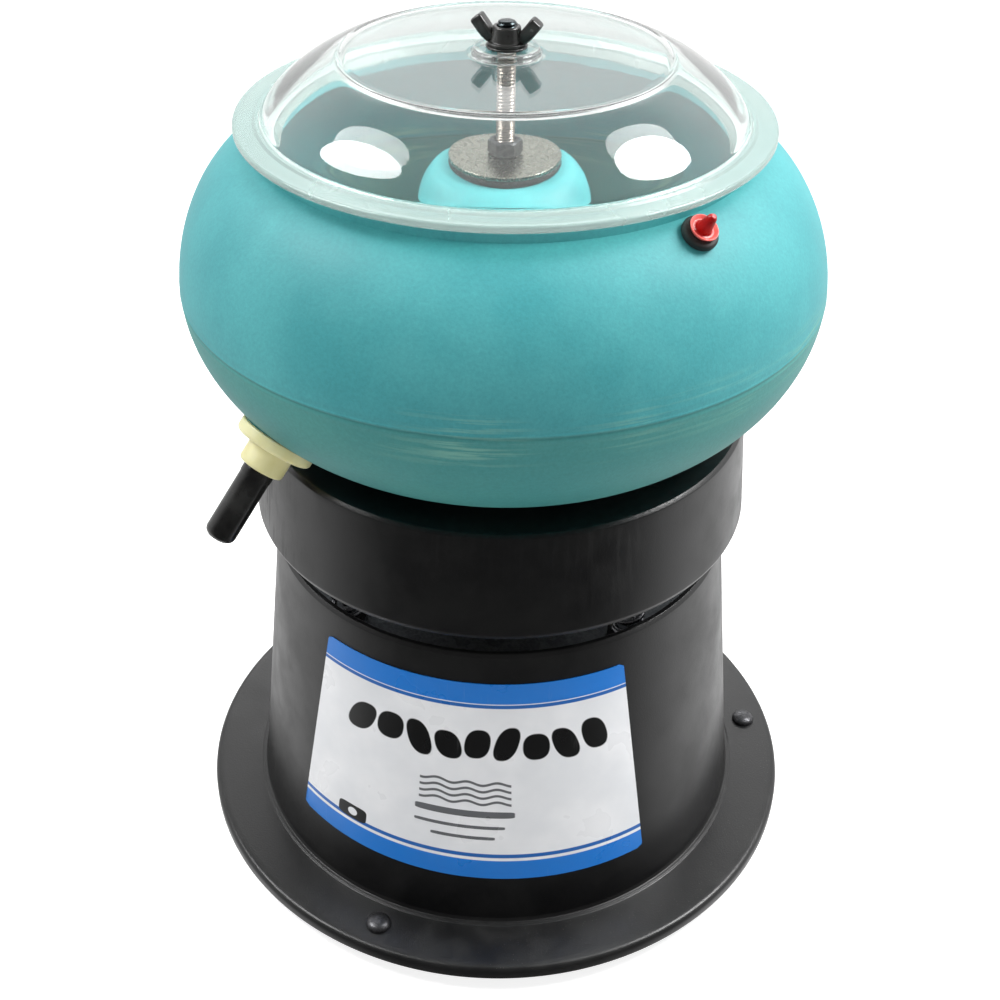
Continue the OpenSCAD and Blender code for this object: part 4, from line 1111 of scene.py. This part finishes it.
def buildSkirt():
    # a tapered band with a rolled lower edge and a flat top that carries the bowl, on four posts
    size = skirtShape
    outline = rounded([
        (size["low"] - size["wall"] - 1.6, size["lowHeight"], 0.4),
        (size["low"] - 1.2, size["lowHeight"], 1.6), (size["low"], size["lowHeight"] + 3, 2.4),
        (size["top"], size["topHeight"] - 1.4, 1.0), (size["top"] - 1.6, size["topHeight"], 1.0),
        (size["hole"], size["topHeight"], 0.3), (size["hole"], size["topHeight"] - size["cover"], 0.3),
        (size["top"] - size["wall"], size["topHeight"] - size["cover"], 1.0),
        (size["low"] - size["wall"], size["lowHeight"] + 4, 1.5),
        (size["low"] - size["wall"] - 1.6, size["lowHeight"] + 2.6, 0.5)])
    post = rounded([(0, size["plateTop"], 0), (size["post"], size["plateTop"], 0.4),
                    (size["post"], size["topHeight"] - 2, 0), (0, size["topHeight"] - 2, 0)])
    skirt = bindMesh("driveSkirt", *turned(spaced(outline, 2.6), 240), "carriage",
                     finishes["black_skirt"], "black_skirt", ["skirt"], 50)
    places = [around(90 * number, size["postCircle"]) for number in range(4)]
    carve(skirt, "UNION", *carried(*turned(post, 32, False), places))


footShape = {"foot": 7.2, "radius": 8.5, "bevel": 1.4, "bore": 2.7, "counterbore": 5.2, "deep": 5.0,
             "shank": 2.5, "head": 5.8, "headFoot": 0.7, "roundness": 2.2}


def buildFeetAndScrews():
    size = footShape
    low, high = boxOf("rubber_feet")
    skin = [(size["foot"], 0, 0.5), (size["radius"], size["bevel"], 0.6), (size["radius"], high[2], 0)]
    solid = rounded([(0, 0, 0), *skin, (0, high[2], 0)])
    bored = rounded([(size["bore"], size["deep"], 0), (size["counterbore"], size["deep"], 0.2),
                     (size["counterbore"], 0, 0.3), *skin, (size["bore"], high[2], 0)])
    feet = joined(carried(*turned(spaced(solid, 2, False), 40, False), screwPlaces(60)),
                  carried(*turned(spaced(bored, 2), 40), screwPlaces()))
    bindMesh("rubberFeet", *feet, "base", finishes["black_rubber"], "black_rubber", ["rubber_feet"])
    low, high = boxOf("foot_screws")
    seat = baseShape["flangeTop"]
    edge = seat + size["headFoot"]
    dome = superArc((0, edge), (size["head"], high[2] - edge), size["roundness"], 0, 90, 10)
    shank = [(0, low[2]), (size["shank"], low[2]), (size["shank"], seat), (size["head"] - 0.3, seat),
             (size["head"], seat + 0.3)]
    head = np.concatenate([shank, dome])
    bindMesh("footScrews", *carried(*turned(head, 40, False), screwPlaces()), "base",
             finishes["dark_steel"], "dark_steel", ["foot_screws"])


springShape = {"count": 4, "circle": 91.0, "first": 40.0, "coil": 6.5, "wire": 1.25, "turns": 6,
               "closed": 0.9, "perTurn": 30, "sides": 12}


def buildSprings():
    # a coil: the wire's circle carried along a helix whose first and last turns lie closed
    size = springShape
    low, high = boxOf("springs")
    count = size["turns"] * size["perTurn"] + 1
    turns = np.linspace(0, size["turns"], count)
    closed = size["closed"] * 2 * size["wire"]  # height of the closed turns at one end
    rise = high[2] - low[2] - 2 * size["wire"]
    height = low[2] + size["wire"] + np.interp(
        turns, [0, size["closed"], size["turns"] - size["closed"], size["turns"]],
        [0, closed, rise - closed, rise])
    height = np.convolve(np.pad(height, 5, mode="reflect", reflect_type="odd"), np.ones(11) / 11, "valid")
    angle = 2 * np.pi * turns[:, None]
    section = np.linspace(0, 2 * np.pi, size["sides"], endpoint=False)[None]
    r = size["coil"] + size["wire"] * np.cos(section)
    coil = np.stack([r * np.cos(angle), r * np.sin(angle),
                     height[:, None] + size["wire"] * np.sin(section)], -1)
    start, end = (np.repeat(coil[row].mean(0)[None], size["sides"], 0) for row in (0, -1))
    points = np.concatenate([start, coil.reshape(-1, 3), end])
    faces = gridFaces(count + 2, size["sides"])
    between = 360 / size["count"]
    places = [around(size["first"] + between * number, size["circle"]) for number in range(size["count"])]
    bindMesh("coilSprings", *carried(points, faces, places), "springs", finishes["spring_steel"],
             "spring_steel", ["springs"], 70)


labelShape = {"upperLeft": (-76.0, 155.3), "upperRight": (55.6, 154.7), "lowerRight": (71.4, 41.2),
              "lowerLeft": (-94.2, 44.8), "proud": 0.45, "thick": 0.32, "across": 140, "up": 90,
              "corner": 2.2, "width": 150.0, "height": 112.0}


def buildLabel():
    # film wrapped on the cone: (u, v) between four corners gives x and z, and the wall's radius gives y
    size = labelShape
    u, v = np.meshgrid(np.linspace(0, 1, size["across"]), np.linspace(0, 1, size["up"]), indexing="ij")
    lowerLeft, lowerRight, upperLeft, upperRight = (
        np.array(size[key]) for key in ("lowerLeft", "lowerRight", "upperLeft", "upperRight"))
    # the corners are rounded by drawing the ends of each edge in along a quarter circle
    fromEnd = np.minimum(v, 1 - v) * size["height"]
    inset = np.clip(size["corner"] - fromEnd, 0, None)
    draw = (size["corner"] - np.sqrt(size["corner"] ** 2 - inset ** 2)) / size["width"]
    across = draw + u * (1 - 2 * draw)
    flat = ((1 - across) * (1 - v))[..., None] * lowerLeft + (across * (1 - v))[..., None] * lowerRight
    flat += ((1 - across) * v)[..., None] * upperLeft + (across * v)[..., None] * upperRight
    x, z = flat[..., 0], flat[..., 1]

    def skin(lift):
        return np.stack([x, -np.sqrt((wallRadius(z) + lift) ** 2 - x ** 2), z], -1).reshape(-1, 3)

    front, back = skin(size["proud"]), skin(size["proud"] - size["thick"])
    rows, columns = np.arange(size["across"] - 1)[:, None], np.arange(size["up"] - 1)[None]
    first = rows * size["up"] + columns
    faces = np.stack([first, first + size["up"], first + size["up"] + 1, first + 1], -1).reshape(-1, 4)
    count = len(front)
    grid = np.arange(count).reshape(size["across"], size["up"])
    border = np.concatenate([grid[:, 0], grid[-1, 1:], grid[-2::-1, -1], grid[0, -2:0:-1]])
    following = np.roll(border, -1)
    edge = np.stack([border, border + count, following + count, following], -1)
    allFaces = np.concatenate([faces, faces[:, ::-1] + count, edge])
    mesh = bpy.data.meshes.new("wrapLabel")
    mesh.from_pydata((np.concatenate([front, back]) * mm).tolist(), [], allFaces.tolist())
    layer = mesh.uv_layers.new(name="label")
    corners = np.zeros(len(mesh.loops), np.int32)
    mesh.loops.foreach_get("vertex_index", corners)
    spread = np.stack([across.ravel(), v.ravel()], -1)
    layer.data.foreach_set("uv", np.concatenate([spread, spread])[corners].astype(np.float32).ravel())
    mesh.shade_smooth()
    mesh.set_sharp_from_angle(angle=math.radians(40))
    mesh.materials.append(finishes["label"])
    label = bpy.data.objects.new("wrapLabel", mesh)
    bpy.context.scene.collection.objects.link(label)
    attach(label, "base")
    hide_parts("base_label")


bushingShape = {"bore": 3.6, "inside": 109.0, "lip": 10.5, "neck": 7.9, "head": 11.0, "headTo": 127.0,
                "ribs": 6, "rib": 5.8, "proud": 0.55, "taper": 0.12, "firstRib": 128.4, "pitch": 1.1,
                "tail": 5.4, "outside": 135.0}


def buildBushing():
    # strain-relief bushing: a ribbed tapered sleeve turned about the cord's line
    size, hole = bushingShape, baseShape["bushing"]
    ribs = [(size["rib"] + size["proud"] * (number % 2) - size["taper"] * number,
             size["firstRib"] + size["pitch"] * number, 0.2)
            for number in range(size["ribs"])]
    outline = rounded([(size["bore"], size["inside"], 0.4), (size["lip"], size["inside"], 0.6),
                       (size["lip"], hole["from"], 0.3), (size["neck"], hole["from"], 0.2),
                       (size["neck"], hole["to"], 0.2), (size["head"], hole["to"], 0.5),
                       (size["head"], size["headTo"], 0.8), *ribs, (size["tail"], size["outside"], 0.5),
                       (size["bore"], size["outside"], 0.4)], 4)
    lay = Matrix.Translation((0, 0, hole["height"])) @ Matrix.Rotation(math.radians(-90), 4, "X")
    bindMesh("cordBushing", *carried(*turned(spaced(outline, 1.5), 56), [lay]), "base",
             finishes["black_rubber"], "black_rubber", ["cord_bushing"])


buildBase()
buildSkirt()
buildFeetAndScrews()
buildSprings()
buildLabel()
buildBushing()
print("base, skirt, feet, springs and label made")

for part in frame["record"]["subparts"]:
    node = frame["nodes"][part["node"]]
    node.data.materials.clear()
    node.data.materials.append(finishes[part["material_slot"]])
print("inner parts finished")
